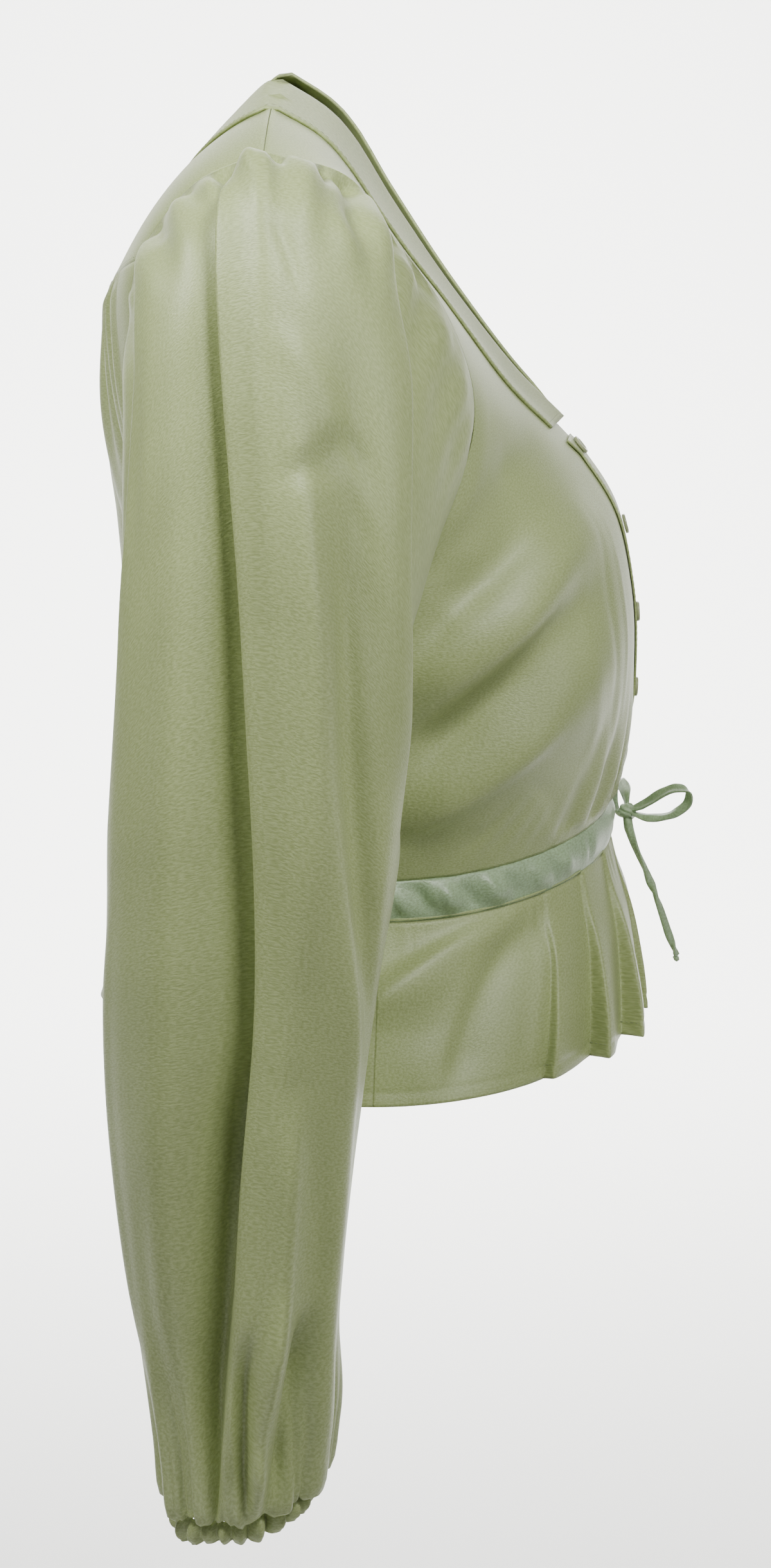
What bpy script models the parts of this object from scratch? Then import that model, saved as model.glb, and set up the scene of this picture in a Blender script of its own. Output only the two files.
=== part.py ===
"""A satin blouse, filled out as if worn and held up at the shoulders.

It has gathered bishop sleeves with elastic cuffs, a flat pointed collar, a buttoned front, a back yoke,
a drawstring casing at the waist and a flared peplum. Metres, +Z up, +X to the wearer's front, +Y to the
wearer's left. The origin lies between the two neck points of the shoulder seams.
"""

import math

import bmesh
import bpy
import numpy as np
from mathutils import Vector
from mathutils.bvhtree import BVHTree

MM = 0.001

# Driving dimensions of the cloth and its seams, in millimetres.
CLOTH = 1.2
SEAM_GAP = 0.3
SLEEVE_GAP = 1.3
LAP = 12.0
UNDERLAP_DEPTH = 2.6
BAND_WIDTH = 25.0
COLLAR_ROLL = 2.4
CASING_HEIGHT = 21.0
CASING_PUFF = 3.0
CASING_RIPPLES = 24
CASING_SLIT = 3.0
PEPLUM_LENGTH = 90.0
PEPLUM_WAVES = 15
CUFF_HEIGHT = 12.0
CUFF_GATHERS = 22
HEAD_GATHERS = 24
BUTTON_COUNT = 5
BUTTON_TOP = 0.565
BUTTON_STEP = 0.125
BUTTON_DIAMETER = 10.0
BUTTON_HEIGHT = 1.8
TIE_WIDTH = 6.5
TAIL_WIDTH = 4.0
TIE_CLOTH = 1.3
KNOT = (11.0, 9.0, 9.0)
KNOT_AT = (177.5, 0.0, -365.0)
END_KNOT = 3.0
BODY_MIDDLE = (30.0, 0.0, -200.0)
WELD = 0.00001


class Table:
    """Rows of named columns in millimetres, read between the rows on a smooth curve."""

    def __init__(self, names, *rows):
        values = np.array(rows, float)
        names = names.split()
        at = values[:, 0]
        self.fine = np.linspace(0.0, 1.0, 401)
        self.columns = {name: self.curve(at, values[:, i + 1]) for i, name in enumerate(names[1:])}

    def curve(self, at, heights):
        """Hermite pieces whose slope at each row is the slope between its neighbours."""
        slopes = np.gradient(heights, at)
        i = np.clip(np.searchsorted(at, self.fine, side="right") - 1, 0, len(at) - 2)
        step = at[i + 1] - at[i]
        f = (self.fine - at[i]) / step
        start = heights[i] * (1 + 2 * f) * (1 - f) ** 2 + heights[i + 1] * f * f * (3 - 2 * f)
        turn = slopes[i] * f * (1 - f) ** 2 - slopes[i + 1] * f * f * (1 - f)
        return start + turn * step

    def read(self, name, at):
        return np.interp(at, self.fine, self.columns[name])

    def point(self, prefix, at):
        return np.stack([self.read(prefix + axis, at) for axis in "xyz"], axis=-1)


# The armhole of the right side, from the shoulder seam forwards, down and round to it again.
ARMHOLE = Table(
    "at x y z",
    (0.00, 0, 181, -25),
    (0.08, 38, 175, -37),
    (0.14, 56, 166, -62),
    (0.20, 78, 156, -93),
    (0.27, 92, 150, -130),
    (0.34, 90, 150, -160),
    (0.42, 70, 155, -200),
    (0.50, 30, 160, -222),
    (0.60, -20, 157, -196),
    (0.68, -45, 158, -156),
    (0.77, -57, 163, -112),
    (0.86, -56, 170, -72),
    (0.93, -32, 178, -40),
    (1.00, 0, 181, -25),
)
UNDERARM = 0.50
YOKE_END = 0.86

# The side seam, from the waist (0) to the underarm (1).
SIDE_SEAM = Table(
    "at x y z",
    (0.00, 50, 134, -366),
    (0.25, 47, 143, -333),
    (0.50, 44, 151, -294),
    (0.78, 38, 156, -252),
    (1.00, 30, 160, -222),
)

# A front, from the waist seam (0) to the shoulder seam (1): its edge is the centre front, then the neckline.
# Pull and weight shape each row between that edge and the side seam or the armhole.
FRONT = Table(
    "at edge_x edge_y edge_z pull weight",
    (0.00, 167.5, 0, -355, 1.00, 0.71),
    (0.09, 175, 0, -323, 1.00, 0.80),
    (0.20, 178, 0, -286, 1.00, 1.00),
    (0.31, 176, 0, -244, 1.00, 1.12),
    (0.40, 168, 0, -207, 0.95, 1.08),
    (0.49, 152, 0, -181, 0.80, 1.00),
    (0.57, 139, 3, -166, 0.65, 0.90),
    (0.66, 114, 22, -140, 0.45, 0.85),
    (0.76, 84, 41, -102, 0.35, 0.80),
    (0.88, 51, 60, -57, 0.25, 0.80),
    (0.95, 25, 72, -20, 0.22, 0.80),
    (1.00, 2, 79, -5, 0.20, 0.80),
)
FRONT_UNDERARM = 0.40
NECK_POINT = 0.57

# Half of the back, from the waist seam (0) to the yoke seam (1). Its edge is the centre back.
BACK = Table(
    "at edge_x edge_y edge_z pull weight",
    (0.00, -56, 0, -361, 1.00, 0.71),
    (0.12, -64, 0, -324, 1.00, 0.78),
    (0.26, -72, 0, -282, 1.00, 0.85),
    (0.41, -77, 0, -240, 1.00, 0.85),
    (0.53, -80, 0, -205, 0.95, 0.85),
    (0.66, -83, 0, -176, 0.90, 0.85),
    (0.78, -84, 0, -150, 0.85, 0.80),
    (0.89, -83, 0, -122, 0.75, 0.80),
    (1.00, -81, 0, -95, 0.65, 0.80),
)
BACK_UNDERARM = 0.53

# The back neckline, from the centre back (0) to the shoulder seam (1).
BACK_NECK = Table(
    "at x y z",
    (0.00, -24, 0, -35),
    (0.36, -22, 30, -32),
    (0.72, -12, 60, -20),
    (1.00, 2, 79, -5),
)
NECK_SHARE = 0.45
YOKE_BULGE = 4.0
# The yoke's middle line, from the back neckline (0) to the yoke seam (1).
YOKE_MIDDLE = Table(
    "at x y z",
    (0.0, -24, 0, -35),
    (0.4, -49, 0, -61),
    (0.75, -70, 0, -81),
    (1.0, -81, 0, -95),
)

# Right sleeve, from the armhole (0) to the cuff seam (1): four points of each ring, on its outer, front,
# inner and back lines. Y counts outwards from the middle of the body.
SLEEVE = Table(
    "at outer_x outer_y outer_z front_x front_y front_z inner_x inner_y inner_z back_x back_y back_z",
    (0.00, 0, 181, -25, 92, 150, -125, 30, 160, -222, -57, 163, -113),
    (0.03, 0, 200, -25, 90, 166, -132, 28, 172, -226, -60, 181, -120),
    (0.08, 1, 225, -37, 82, 190, -150, 22, 186, -240, -62, 204, -140),
    (0.15, 3, 245, -66, 73, 211, -178, 14, 192, -264, -62, 221, -168),
    (0.24, 3, 259, -116, 66, 225, -213, 8, 194, -290, -62, 230, -205),
    (0.36, 1, 268, -190, 63, 231, -263, 3, 194, -320, -62, 233, -258),
    (0.50, -5, 273, -285, 60, 233, -325, -3, 194, -362, -66, 234, -325),
    (0.64, -11, 273, -375, 50, 232, -395, -9, 194, -417, -71, 233, -395),
    (0.78, -16, 270, -460, 39.5, 230, -470, -14, 194, -482, -69, 231, -470),
    (0.90, -16, 263, -558, 32, 227, -552, -15, 194, -556, -60, 228, -558),
    (0.96, -14, 255, -614, 29, 225, -602, -15, 196, -600, -52, 226, -613),
    (0.985, -13, 250, -639, 24, 224, -627, -15, 199, -621, -49, 225, -640),
    (1.00, -13, 244, -637, 16, 223, -625, -14, 203, -619, -43, 224, -638),
)

# Pleats of a sleeve, each a sharp edge that runs down it from the armhole to the cuff. The path is its angle
# in degrees at the head, at a third, at two thirds and at the cuff: 0 on the outer line, 90 on the front
# line. The cloth stands high on one side of it, towards the front where turn is 1, drops away on the other,
# and the edge laps over by some degrees. Columns is the number of grid columns since the pleat before.
PLEATS = (
    dict(path=(-145, -155, -145, -140), turn=1, lift=2, drop=5, width=24, lap=0, span=(0.15, 1.0), columns=4),
    dict(path=(-66, -100, -112, -112), turn=1, lift=2, drop=6, width=18, lap=3, span=(0.02, 0.62), columns=6),
    dict(path=(-42, -72, -90, -86), turn=1, lift=4, drop=9, width=22, lap=4, span=(0.01, 0.60), columns=5),
    dict(path=(-6, -9, 11, -22), turn=1, lift=5, drop=10, width=26, lap=5, span=(0.01, 1.1), columns=10),
    dict(path=(38, 74, 88, 90), turn=-1, lift=4, drop=12, width=28, lap=4, span=(0.02, 0.50), columns=12),
    dict(path=(150, 165, 170, 160), turn=-1, lift=2, drop=5, width=26, lap=0, span=(0.1, 0.95), columns=11),
)
LAST_COLUMNS = 4
FOLD_STEP = 3.2
# Soft folds of the sleeve, ridges where the height is above zero and troughs where it is below.
SOFT_FOLDS = (
    dict(path=(12, 20, 26, 26), width=9, height=4.0, span=(0.22, 0.66)),
    dict(path=(24, 42, 50, 52), width=13, height=-6.0, span=(0.12, 0.46)),
    dict(path=(-26, -30, -34, -40), width=16, height=3.0, span=(0.05, 0.95)),
    dict(path=(60, 60, 58, 40), width=13, height=3.5, span=(0.42, 0.98)),
    dict(path=(110, 118, 110, 100), width=18, height=-3.5, span=(0.20, 0.95)),
)

# Drag folds of the fronts and the peplum as seen from the side, from one end to the other, in x and z.
BODICE_FOLDS = (
    dict(start=(152, -196), end=(48, -272), width=17, height=7.0, bow=10),
    dict(start=(160, -262), end=(50, -336), width=18, height=6.0, bow=8),
    dict(start=(120, -160), end=(84, -226), width=15, height=-6.0, bow=-5),
    dict(start=(152, -226), end=(56, -304), width=16, height=-7.0, bow=8),
)
PEPLUM_FOLDS = (
    dict(start=(140, -372), end=(40, -428), width=12, height=-3.2, bow=-6),
    dict(start=(128, -380), end=(70, -440), width=11, height=2.6, bow=-4),
)


def smooth(low, high, x):
    """0 below low, 1 above high, and an even curve between them."""
    f = np.clip((x - low) / (high - low), 0.0, 1.0)
    return f * f * (3 - 2 * f)


def normals_of(place, u, v, step=0.002):
    """Unit normals of a surface that place(u, v) gives, from the slopes along its two directions."""
    across = place(u + step, v) - place(u - step, v)
    along = place(u, np.minimum(v + 0.002, 1.0)) - place(u, np.maximum(v - 0.002, 0.0))
    n = np.cross(across, along)
    return n / np.maximum(np.linalg.norm(n, axis=-1, keepdims=True), 1e-12)


def along_path(path, at):
    """A fold's angle in degrees at a share of the length, on the cubic through its four angles."""
    first, second, third, fourth = path
    t = 3 * at
    bend, twist = third - 2 * second + first, fourth - 3 * third + 3 * second - first
    return first + t * (second - first) + t * (t - 1) / 2 * bend + t * (t - 1) * (t - 2) / 6 * twist


def turned(angle):
    """An angle in degrees, brought to within half a turn of 0."""
    return (angle + 180.0) % 360.0 - 180.0


def fading(span, at, run=0.05):
    """1 along a fold's span, running out to 0 at its two ends."""
    start, end = span
    return smooth(start, start + run, at) * (1 - smooth(end - 0.12, end, at))


def pleat(angle, at, fold, step=FOLD_STEP):
    """How high a pleat stands in millimetres, and how far its edge laps over, in degrees."""
    d = turned(angle - along_path(fold["path"], at)) * fold["turn"]
    high = 0.5 * (1 + np.tanh(d / (0.5 * step)))
    slope = np.exp(-np.abs(d) / fold["width"])
    height = (high * fold["lift"] - (1 - high) * fold["drop"]) * slope
    lap = -fold["lap"] * d / step * np.exp(0.5 - 0.5 * (d / step) ** 2) * fold["turn"]
    return height * fading(fold["span"], at), lap * fading(fold["span"], at, 0.16)


def soft_fold(angle, at, fold):
    d = turned(angle - along_path(fold["path"], at))
    return fold["height"] * np.exp(-((d / fold["width"]) ** 2)) * fading(fold["span"], at, 0.14)


def sleeve_relief(angle, at):
    """How far the sleeve's cloth stands out from its plain tube in millimetres, and its lap in degrees."""
    folded = [pleat(angle, at, fold) for fold in PLEATS]
    height = sum(part[0] for part in folded) + sum(soft_fold(angle, at, fold) for fold in SOFT_FOLDS)
    lap = sum(part[1] for part in folded)
    outer = np.exp(-((turned(angle) / 95.0) ** 4))
    head = np.cos(np.radians(HEAD_GATHERS * angle + 50 * np.sin(np.radians(2 * angle + 40))))
    head = 3.0 * head * outer * smooth(0.0, 0.03, at) * (1 - smooth(0.05, 0.15, at))
    low = np.cos(np.radians(CUFF_GATHERS / 2 * angle + 40 * np.sin(np.radians(2 * angle))))
    low = 2.6 * low * smooth(0.86, 0.97, at) * (1 - 0.6 * smooth(0.985, 1.0, at))
    return height * (1 - smooth(0.93, 1.0, at) * 0.8) + head + low, lap * (1 - smooth(0.78, 0.93, at))


def sleeve_tube(angle, at, side):
    """The sleeve without its folds: a ring through four points at each height, from the armhole itself."""
    outer, front = SLEEVE.point("outer_", at), SLEEVE.point("front_", at)
    inner, back = SLEEVE.point("inner_", at), SLEEVE.point("back_", at)
    c, s = np.cos(np.radians(angle))[..., None], np.sin(np.radians(angle))[..., None]
    double = np.cos(np.radians(2 * angle))[..., None]

    def ring(outer, front, inner, back):
        middle = (outer + front + inner + back) / 4
        oval = (outer + inner - front - back) / 4
        return middle + (outer - inner) / 2 * c + (front - back) / 2 * s + oval * double

    head = np.zeros_like(at)
    first = ring(*(SLEEVE.point(name, head) for name in ("outer_", "front_", "inner_", "back_")))
    seam = ARMHOLE.point("", (angle / 360.0) % 1.0) - first
    placed = ring(outer, front, inner, back) + seam * (1 - smooth(0.0, 0.16, at))[..., None]
    return placed * (1, side, 1) * MM


def spread(u, counts, stops):
    """Angles for shares of a grid's width: each stop is reached after its count of columns."""
    column = u * sum(counts)
    angle, start = stops[0] + 0 * u, 0
    for count, low, high in zip(counts, stops[:-1], stops[1:]):
        angle = angle + (high - low) * np.clip((column - start) / count, 0, 1)
        start += count
    return angle


def sleeve_angle(u, at, side):
    """From the inner line round to it again, with a column of the grid on each pleat's edge and beside it."""
    counts, stops = [], [-180.0]
    lean = 0.0 if side < 0 else 5.0
    for fold in PLEATS:
        edge = along_path(fold["path"], at) + lean
        counts += [fold["columns"] - 2 if counts else fold["columns"] - 1, 1, 1]
        stops += [edge - FOLD_STEP, edge, edge + FOLD_STEP]
    return spread(u, counts + [LAST_COLUMNS - 1], stops + [180.0])


SLEEVE_COLUMNS = sum(fold["columns"] for fold in PLEATS) + LAST_COLUMNS


def sleeve(side):
    lean = 0.0 if side < 0 else 5.0

    def place(u, v):
        angle = sleeve_angle(u, v, side)
        height, lap = sleeve_relief(angle - lean, v)

        def tube(at_angle, at):
            return sleeve_tube(at_angle, at, side)

        out = normals_of(tube, angle + lap, v, 0.7) * side
        return tube(angle + lap, v) + out * (height * MM)[:, None]

    return place


def cuff(side):
    """The elastic casing at the wrist: tight gathers that swell between its two seams."""

    def place(u, v):
        angle = 360.0 * u
        top = sleeve_tube(angle, np.ones_like(u), side)
        middle = sleeve_tube(np.array([0.0, 90.0, 180.0, 270.0]), np.ones(4), side).mean(axis=0)
        out = top - middle
        out /= np.linalg.norm(out, axis=-1, keepdims=True)
        wave = np.cos(np.radians(CUFF_GATHERS * angle))
        swell = 1.2 * np.sin(math.pi * v) + wave * (1.2 + 0.9 * np.sin(math.pi * v))
        uneven = 0.9 * np.sin(np.radians(5 * angle + 30)) + 0.7 * wave
        drop = SEAM_GAP + CLOTH / 2 + 1.0 + CUFF_HEIGHT * v + uneven * v
        return top + out * (swell * MM)[:, None] - np.array([0, 0, 1]) * (drop * MM)[:, None]

    return place


def conic_row(table, outer, across, at):
    """A row of a body panel: a conic from its edge to its outer side, whose height drops ever faster."""
    edge = table.point("edge_", at)
    pull, weight = table.read("pull", at)[..., None], table.read("weight", at)[..., None]
    middle = (edge + outer) / 2
    corner = np.stack([edge[..., 0], outer[..., 1], middle[..., 2]], axis=-1)
    control = middle + (corner - middle) * pull
    s = across[..., None]
    first, second, third = (1 - s) ** 2, 2 * s * (1 - s) * weight, s * s
    row = (first * edge + second * control + third * outer) / (first + second + third)
    share = (row[..., 1] - edge[..., 1]) / (outer[..., 1] - edge[..., 1])
    row[..., 2] = edge[..., 2] + (outer[..., 2] - edge[..., 2]) * share**2
    return row


def outer_side(at, underarm, armhole_end):
    """A body panel's outer side: the side seam up to the underarm, then the armhole to its top."""
    seam = SIDE_SEAM.point("", np.clip(at / underarm, 0, 1))
    share = np.clip((at - underarm) / (1 - underarm), 0, 1)
    armhole = ARMHOLE.point("", UNDERARM + (armhole_end - UNDERARM) * share)
    return np.where((at < underarm)[..., None], seam, armhole)


def front_row(across, at):
    return conic_row(FRONT, outer_side(at, FRONT_UNDERARM, 0.0), across, at)


def back_row(across, at):
    return conic_row(BACK, outer_side(at, BACK_UNDERARM, YOKE_END), across, at)


def line_relief(x, z, fold):
    """The height of a fold that runs from one point to another, bowed sideways by its bow."""
    (x0, z0), (x1, z1) = fold["start"], fold["end"]
    long = math.hypot(x1 - x0, z1 - z0)
    ux, uz = (x1 - x0) / long, (z1 - z0) / long
    t = ((x - x0) * ux + (z - z0) * uz) / long
    d = (x - x0) * -uz + (z - z0) * ux - fold["bow"] * 4 * t * (1 - t)
    ends = smooth(-0.15, 0.25, t) * (1 - smooth(0.7, 1.15, t))
    return fold["height"] * np.exp(-((d / fold["width"]) ** 2)) * ends


def front_relief(base):
    """Drag folds from the bust to the side, and gathers at the waist that run out upwards."""
    x, y, z = base[..., 0], np.abs(base[..., 1]), base[..., 2]
    height = sum(line_relief(x, z, fold) for fold in BODICE_FOLDS)
    high_side = smooth(-235, -205, z) * smooth(120, 150, y)
    height = height * smooth(45, 95, y) * smooth(-352, -335, z) * (1 - high_side)
    gathers = 2.2 * np.cos(y / 27 * 2 * math.pi + 0.4) * smooth(4, 16, y) * (1 - smooth(85, 105, y))
    return height + gathers * (1 - smooth(-340, -265, z)) ** 1.5 * smooth(-355, -349, z)


FRONT_ROWS = (7, 8)
BACK_ROWS = (5, 7)


def front_base(side):
    """A front's surface in millimetres. Below the neckline it passes the middle by the lap, and the left one
    lies under the right one."""

    def place(u, v):
        v = spread(v, FRONT_ROWS, (0, FRONT_UNDERARM, 1))
        weight = FRONT.read("weight", v)
        lap = LAP / (2 * weight * 152) * (1 - smooth(0.49, 0.54, v))
        across = u * (1 + lap) - lap
        row = front_row(np.abs(across), v)
        row[..., 1] = np.where(across < 0, 2 * FRONT.read("edge_y", v) - row[..., 1], row[..., 1])
        if side > 0:
            under = (1 - smooth(LAP + 2, LAP + 30, row[..., 1])) * (1 - smooth(0.56, 0.64, v))
            row[..., 0] -= UNDERLAP_DEPTH * under
        return row * (1, side, 1)

    return place


def front(side):
    base = front_base(side)

    def place(u, v):
        at = base(u, v)
        return (at + normals_of(base, u, v) * side * front_relief(at)[:, None]) * MM

    return place


def back_base(u, v):
    """The whole back, from the wearer's right side seam (0) to the left one (1)."""
    v = spread(v, BACK_ROWS, (0, BACK_UNDERARM, 1))
    side = np.where(u < 0.5, -1.0, 1.0)
    row = back_row(np.abs(2 * u - 1), v)
    row[..., 1] *= side
    return row


def back(u, v):
    at = back_base(u, v)
    y = np.abs(at[..., 1])
    gathers = 2.4 * np.cos(y / 18 * 2 * math.pi) * smooth(30, 60, y) * (1 - smooth(130, 145, y))
    gathers = gathers * smooth(0.50, 0.90, v) * (1 - smooth(0.95, 1.0, v))
    waist = 1.6 * np.cos(y / 18 * 2 * math.pi) * (1 - smooth(105, 130, y))
    waist = waist * (1 - smooth(0.06, 0.28, v)) * smooth(0, 0.04, v)
    soft = 2.5 * np.cos(y / 60 * 2 * math.pi + 1) * smooth(0.08, 0.3, v) * (1 - smooth(0.7, 0.95, v))
    soft = soft * (1 - smooth(110, 140, y))
    return (at + normals_of(back_base, u, v) * (gathers + waist + soft)[:, None]) * MM


def yoke_front_edge(half):
    """The back neckline from the centre back, then the shoulder seam to the armhole."""
    neck = BACK_NECK.point("", np.clip(half / NECK_SHARE, 0, 1))
    seam = front_row(np.clip((half - NECK_SHARE) / (1 - NECK_SHARE), 0, 1), np.ones_like(half))
    return np.where((half < NECK_SHARE)[..., None], neck, seam)


def yoke(u, v):
    """The yoke as a patch between its four edges, from the right armhole (0) to the left one (1)."""
    half = np.abs(2 * u - 1)
    zero, one = np.zeros_like(u), np.ones_like(u)
    h, t = half[..., None], v[..., None]
    armhole = ARMHOLE.point("", 1 + (YOKE_END - 1) * v)
    patch = (1 - t) * yoke_front_edge(half) + t * back_row(half, one)
    patch += (1 - h) * YOKE_MIDDLE.point("", v) + h * armhole
    patch -= (1 - h) * ((1 - t) * yoke_front_edge(zero) + t * back_row(zero, one))
    patch -= h * ((1 - t) * yoke_front_edge(one) + t * back_row(one, one))
    bulge = YOKE_BULGE * np.sin(math.pi * v**0.8) * smooth(0.1, 0.5, half) * (1 - half**6)
    patch[..., 0] -= 0.6 * bulge
    patch[..., 2] += bulge
    patch[..., 1] *= np.where(u < 0.5, -1.0, 1.0)
    return patch * MM


# Rings below the waist: how far each reaches at the front, side and back, and its drop there.
SKIRT = Table(
    "at front side_x side_y back front_z side_z back_z",
    (0.00, 167.5, 50, 134, -56, 0, -11, -6),
    (0.19, 168, 50, 135, -57, -20, -31, -26),
    (0.30, 171, 50, 140, -62, -33, -42, -38),
    (0.50, 177, 49, 152, -72, -54, -60, -58),
    (0.75, 181, 48, 165, -82, -82, -86, -84),
    (1.00, 183, 47, 174, -90, -106, -110, -110),
)
WAIST_Z = -355.0
CASING_SHARE = 0.19


def skirt_ring(angle, at):
    """A ring below the waist. The angle runs from the centre front round the wearer's right side."""
    a = np.radians(angle)
    side_x = SKIRT.read("side_x", at)
    reach = np.where(np.cos(a) > 0, SKIRT.read("front", at) - side_x, side_x - SKIRT.read("back", at))
    x = side_x + reach * np.cos(a)
    y = -SKIRT.read("side_y", at) * np.sin(a)
    end_z = np.where(np.cos(a) > 0, SKIRT.read("front_z", at), SKIRT.read("back_z", at))
    z = WAIST_Z + end_z + (SKIRT.read("side_z", at) - end_z) * np.sin(a) ** 2
    return np.stack([x, y, z], axis=-1)


def slit_angles(u):
    """From one side of the slit at the centre front, round the body, to its other side."""
    half = math.degrees(CASING_SLIT / 2 / 134.0)
    return half + (360 - 2 * half) * u


def casing(u, v):
    def ring(u, v):
        return skirt_ring(slit_angles(u), CASING_SHARE * v)

    angle = slit_angles(u)
    front_share = 0.5 + 0.5 * np.cos(np.radians(angle))
    ripple = np.cos(np.radians(angle * CASING_RIPPLES + 30 * np.sin(np.radians(3 * angle))))
    swell = np.sin(math.pi * v)
    height = CASING_PUFF * swell + ripple * (2.4 - 2.0 * front_share**2) * swell
    inset = 2.5 * SEAM_GAP / CASING_HEIGHT
    v = inset + (1 - 2 * inset) * v
    return (ring(u, v) + normals_of(ring, u, v) * height[:, None]) * MM


# Pleats of the peplum beside the centre front, in the sleeve pleats' columns.
PEPLUM_PLEATS = (
    dict(path=(5, 7, 9, 11), turn=1, lift=1, drop=5, width=6, lap=0.8, span=(0.0, 9.0)),
    dict(path=(17, 20, 23, 26), turn=1, lift=4, drop=12, width=8, lap=1.6, span=(0.0, 9.0)),
    dict(path=(32, 34, 36, 38), turn=1, lift=4, drop=12, width=9, lap=1.6, span=(0.0, 9.0)),
    dict(path=(46, 48, 50, 52), turn=1, lift=3, drop=6, width=9, lap=0.8, span=(0.0, 9.0)),
)
PEPLUM_STEP = 1.3
SIDE_COLUMNS = (1, 1, 1, 1, 1, 1, 2, 1, 1, 2, 1, 1, 7)
BACK_COLUMNS = 30


def peplum_relief(angle, at, base):
    """Waves at the back that grow towards the hem, pleats beside the centre front and long side folds."""
    grow = smooth(CASING_SHARE, 1.0, at)
    mirrored = np.abs(turned(angle))
    turns = PEPLUM_WAVES * angle + 35 * np.sin(np.radians(2 * angle))
    height, lap = 5.5 * np.cos(np.radians(turns)) * grow * smooth(88, 120, mirrored), 0 * angle
    for fold in PEPLUM_PLEATS:
        up, over = pleat(mirrored, at, fold, PEPLUM_STEP)
        height = height + up * (0.10 + 0.90 * grow)
        lap = lap + over * grow
    side_share = smooth(60, 110, np.abs(base[..., 1])) * grow
    for fold in PEPLUM_FOLDS:
        height = height + line_relief(base[..., 0], base[..., 2], fold) * side_share
    return height, lap * np.sign(turned(angle))


def peplum_angles(u, at, start, end):
    """Columns of a side panel stand on each pleat's edge and beside it. The back's are even."""
    if end - start > 100:
        return start + (end - start) * u
    stops = [start if start < 90 else 360 - end]
    for fold in PEPLUM_PLEATS:
        edge = along_path(fold["path"], at)
        stops += [edge - PEPLUM_STEP, edge, edge + PEPLUM_STEP]
    stops += [end if start < 90 else 360 - start]
    return spread(u, SIDE_COLUMNS, stops) if start < 90 else 360 - spread(1 - u, SIDE_COLUMNS, stops)


def peplum_panel(start, end):
    """A panel of the peplum between two angles, its edges half a seam gap inside them."""
    gap = math.degrees(SEAM_GAP / 2 / 134.0)

    def place(u, v):
        at = CASING_SHARE + (1 - CASING_SHARE) * (v + (1 - v) * 0.6 / PEPLUM_LENGTH)
        angle = np.clip(peplum_angles(u, at, start, end), start + gap, end - gap)
        height, lap = peplum_relief(angle, at, skirt_ring(angle, at))

        def ring(at_angle, at_height):
            return skirt_ring(at_angle, CASING_SHARE + (1 - CASING_SHARE) * at_height)

        return (ring(angle + lap, v) - normals_of(ring, angle + lap, v, 0.5) * height[:, None]) * MM

    return place


def trimmed(place, gap_u=(0.0, 0.0), gap_v=(0.0, 0.0)):
    """The same surface with each edge drawn in by a gap in millimetres, measured along it."""

    def shorter(u, v):
        long_u, long_v = [], []
        for row in (0.1, 0.5, 0.9):
            t = np.linspace(0, 1, 40)
            across, along = place(t, np.full(40, row)), place(np.full(40, row), t)
            long_u.append(np.linalg.norm(np.diff(across, axis=0), axis=1).sum())
            long_v.append(np.linalg.norm(np.diff(along, axis=0), axis=1).sum())
        low_u, high_u = gap_u[0] * MM / min(long_u), 1 - gap_u[1] * MM / min(long_u)
        low_v, high_v = gap_v[0] * MM / min(long_v), 1 - gap_v[1] * MM / min(long_v)
        return place(low_u + (high_u - low_u) * u, low_v + (high_v - low_v) * v)

    return shorter


def material(name, colour, roughness, sheen=0.0):
    made = bpy.data.materials.new(name)
    made.use_nodes = True
    shader = made.node_tree.nodes["Principled BSDF"]
    shader.inputs["Base Color"].default_value = (*colour, 1.0)
    shader.inputs["Roughness"].default_value = roughness
    shader.inputs["Metallic"].default_value = 0.0
    shader.inputs["Sheen Weight"].default_value = sheen
    return made


def add_object(name, mesh, look):
    mesh.materials.append(look)
    mesh.shade_smooth()
    made = bpy.data.objects.new(name, mesh)
    bpy.data.collections["blouse"].objects.link(made)
    return made


def cloth(name, columns, rows, place, look, wrap=False, thickness=CLOTH):
    """A sheet of cloth: a grid laid on a surface, then given the cloth's thickness."""
    bm = bmesh.new()
    bmesh.ops.create_grid(bm, x_segments=columns, y_segments=rows, size=0.5)
    shares = np.array([v.co[:2] for v in bm.verts]) + 0.5
    for vert, point in zip(bm.verts, place(shares[:, 0], shares[:, 1])):
        vert.co = point
    if wrap:
        bmesh.ops.remove_doubles(bm, verts=bm.verts, dist=WELD)
    bmesh.ops.recalc_face_normals(bm, faces=bm.faces)
    mesh = bpy.data.meshes.new(name)
    bm.to_mesh(mesh)
    bm.free()
    made = add_object(name, mesh, look)
    wall = made.modifiers.new("wall", "SOLIDIFY")
    wall.thickness = thickness * MM
    wall.offset = 0.0
    wall.use_quality_normals = True
    return made


def body_surface(places, columns=40, rows=60):
    """A search tree over panels, each a grid of points on its surface."""
    across, along = np.meshgrid(np.linspace(0, 1, columns + 1), np.linspace(0, 1, rows + 1))
    points, faces = [], []
    for place in places:
        first = len(points)
        points.extend(Vector(p) for p in place(across.ravel(), along.ravel()))
        for row in range(rows):
            for column in range(columns):
                corner = first + row * (columns + 1) + column
                faces.append((corner, corner + 1, corner + columns + 2, corner + columns + 1))
    return BVHTree.FromPolygons(points, faces)


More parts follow.
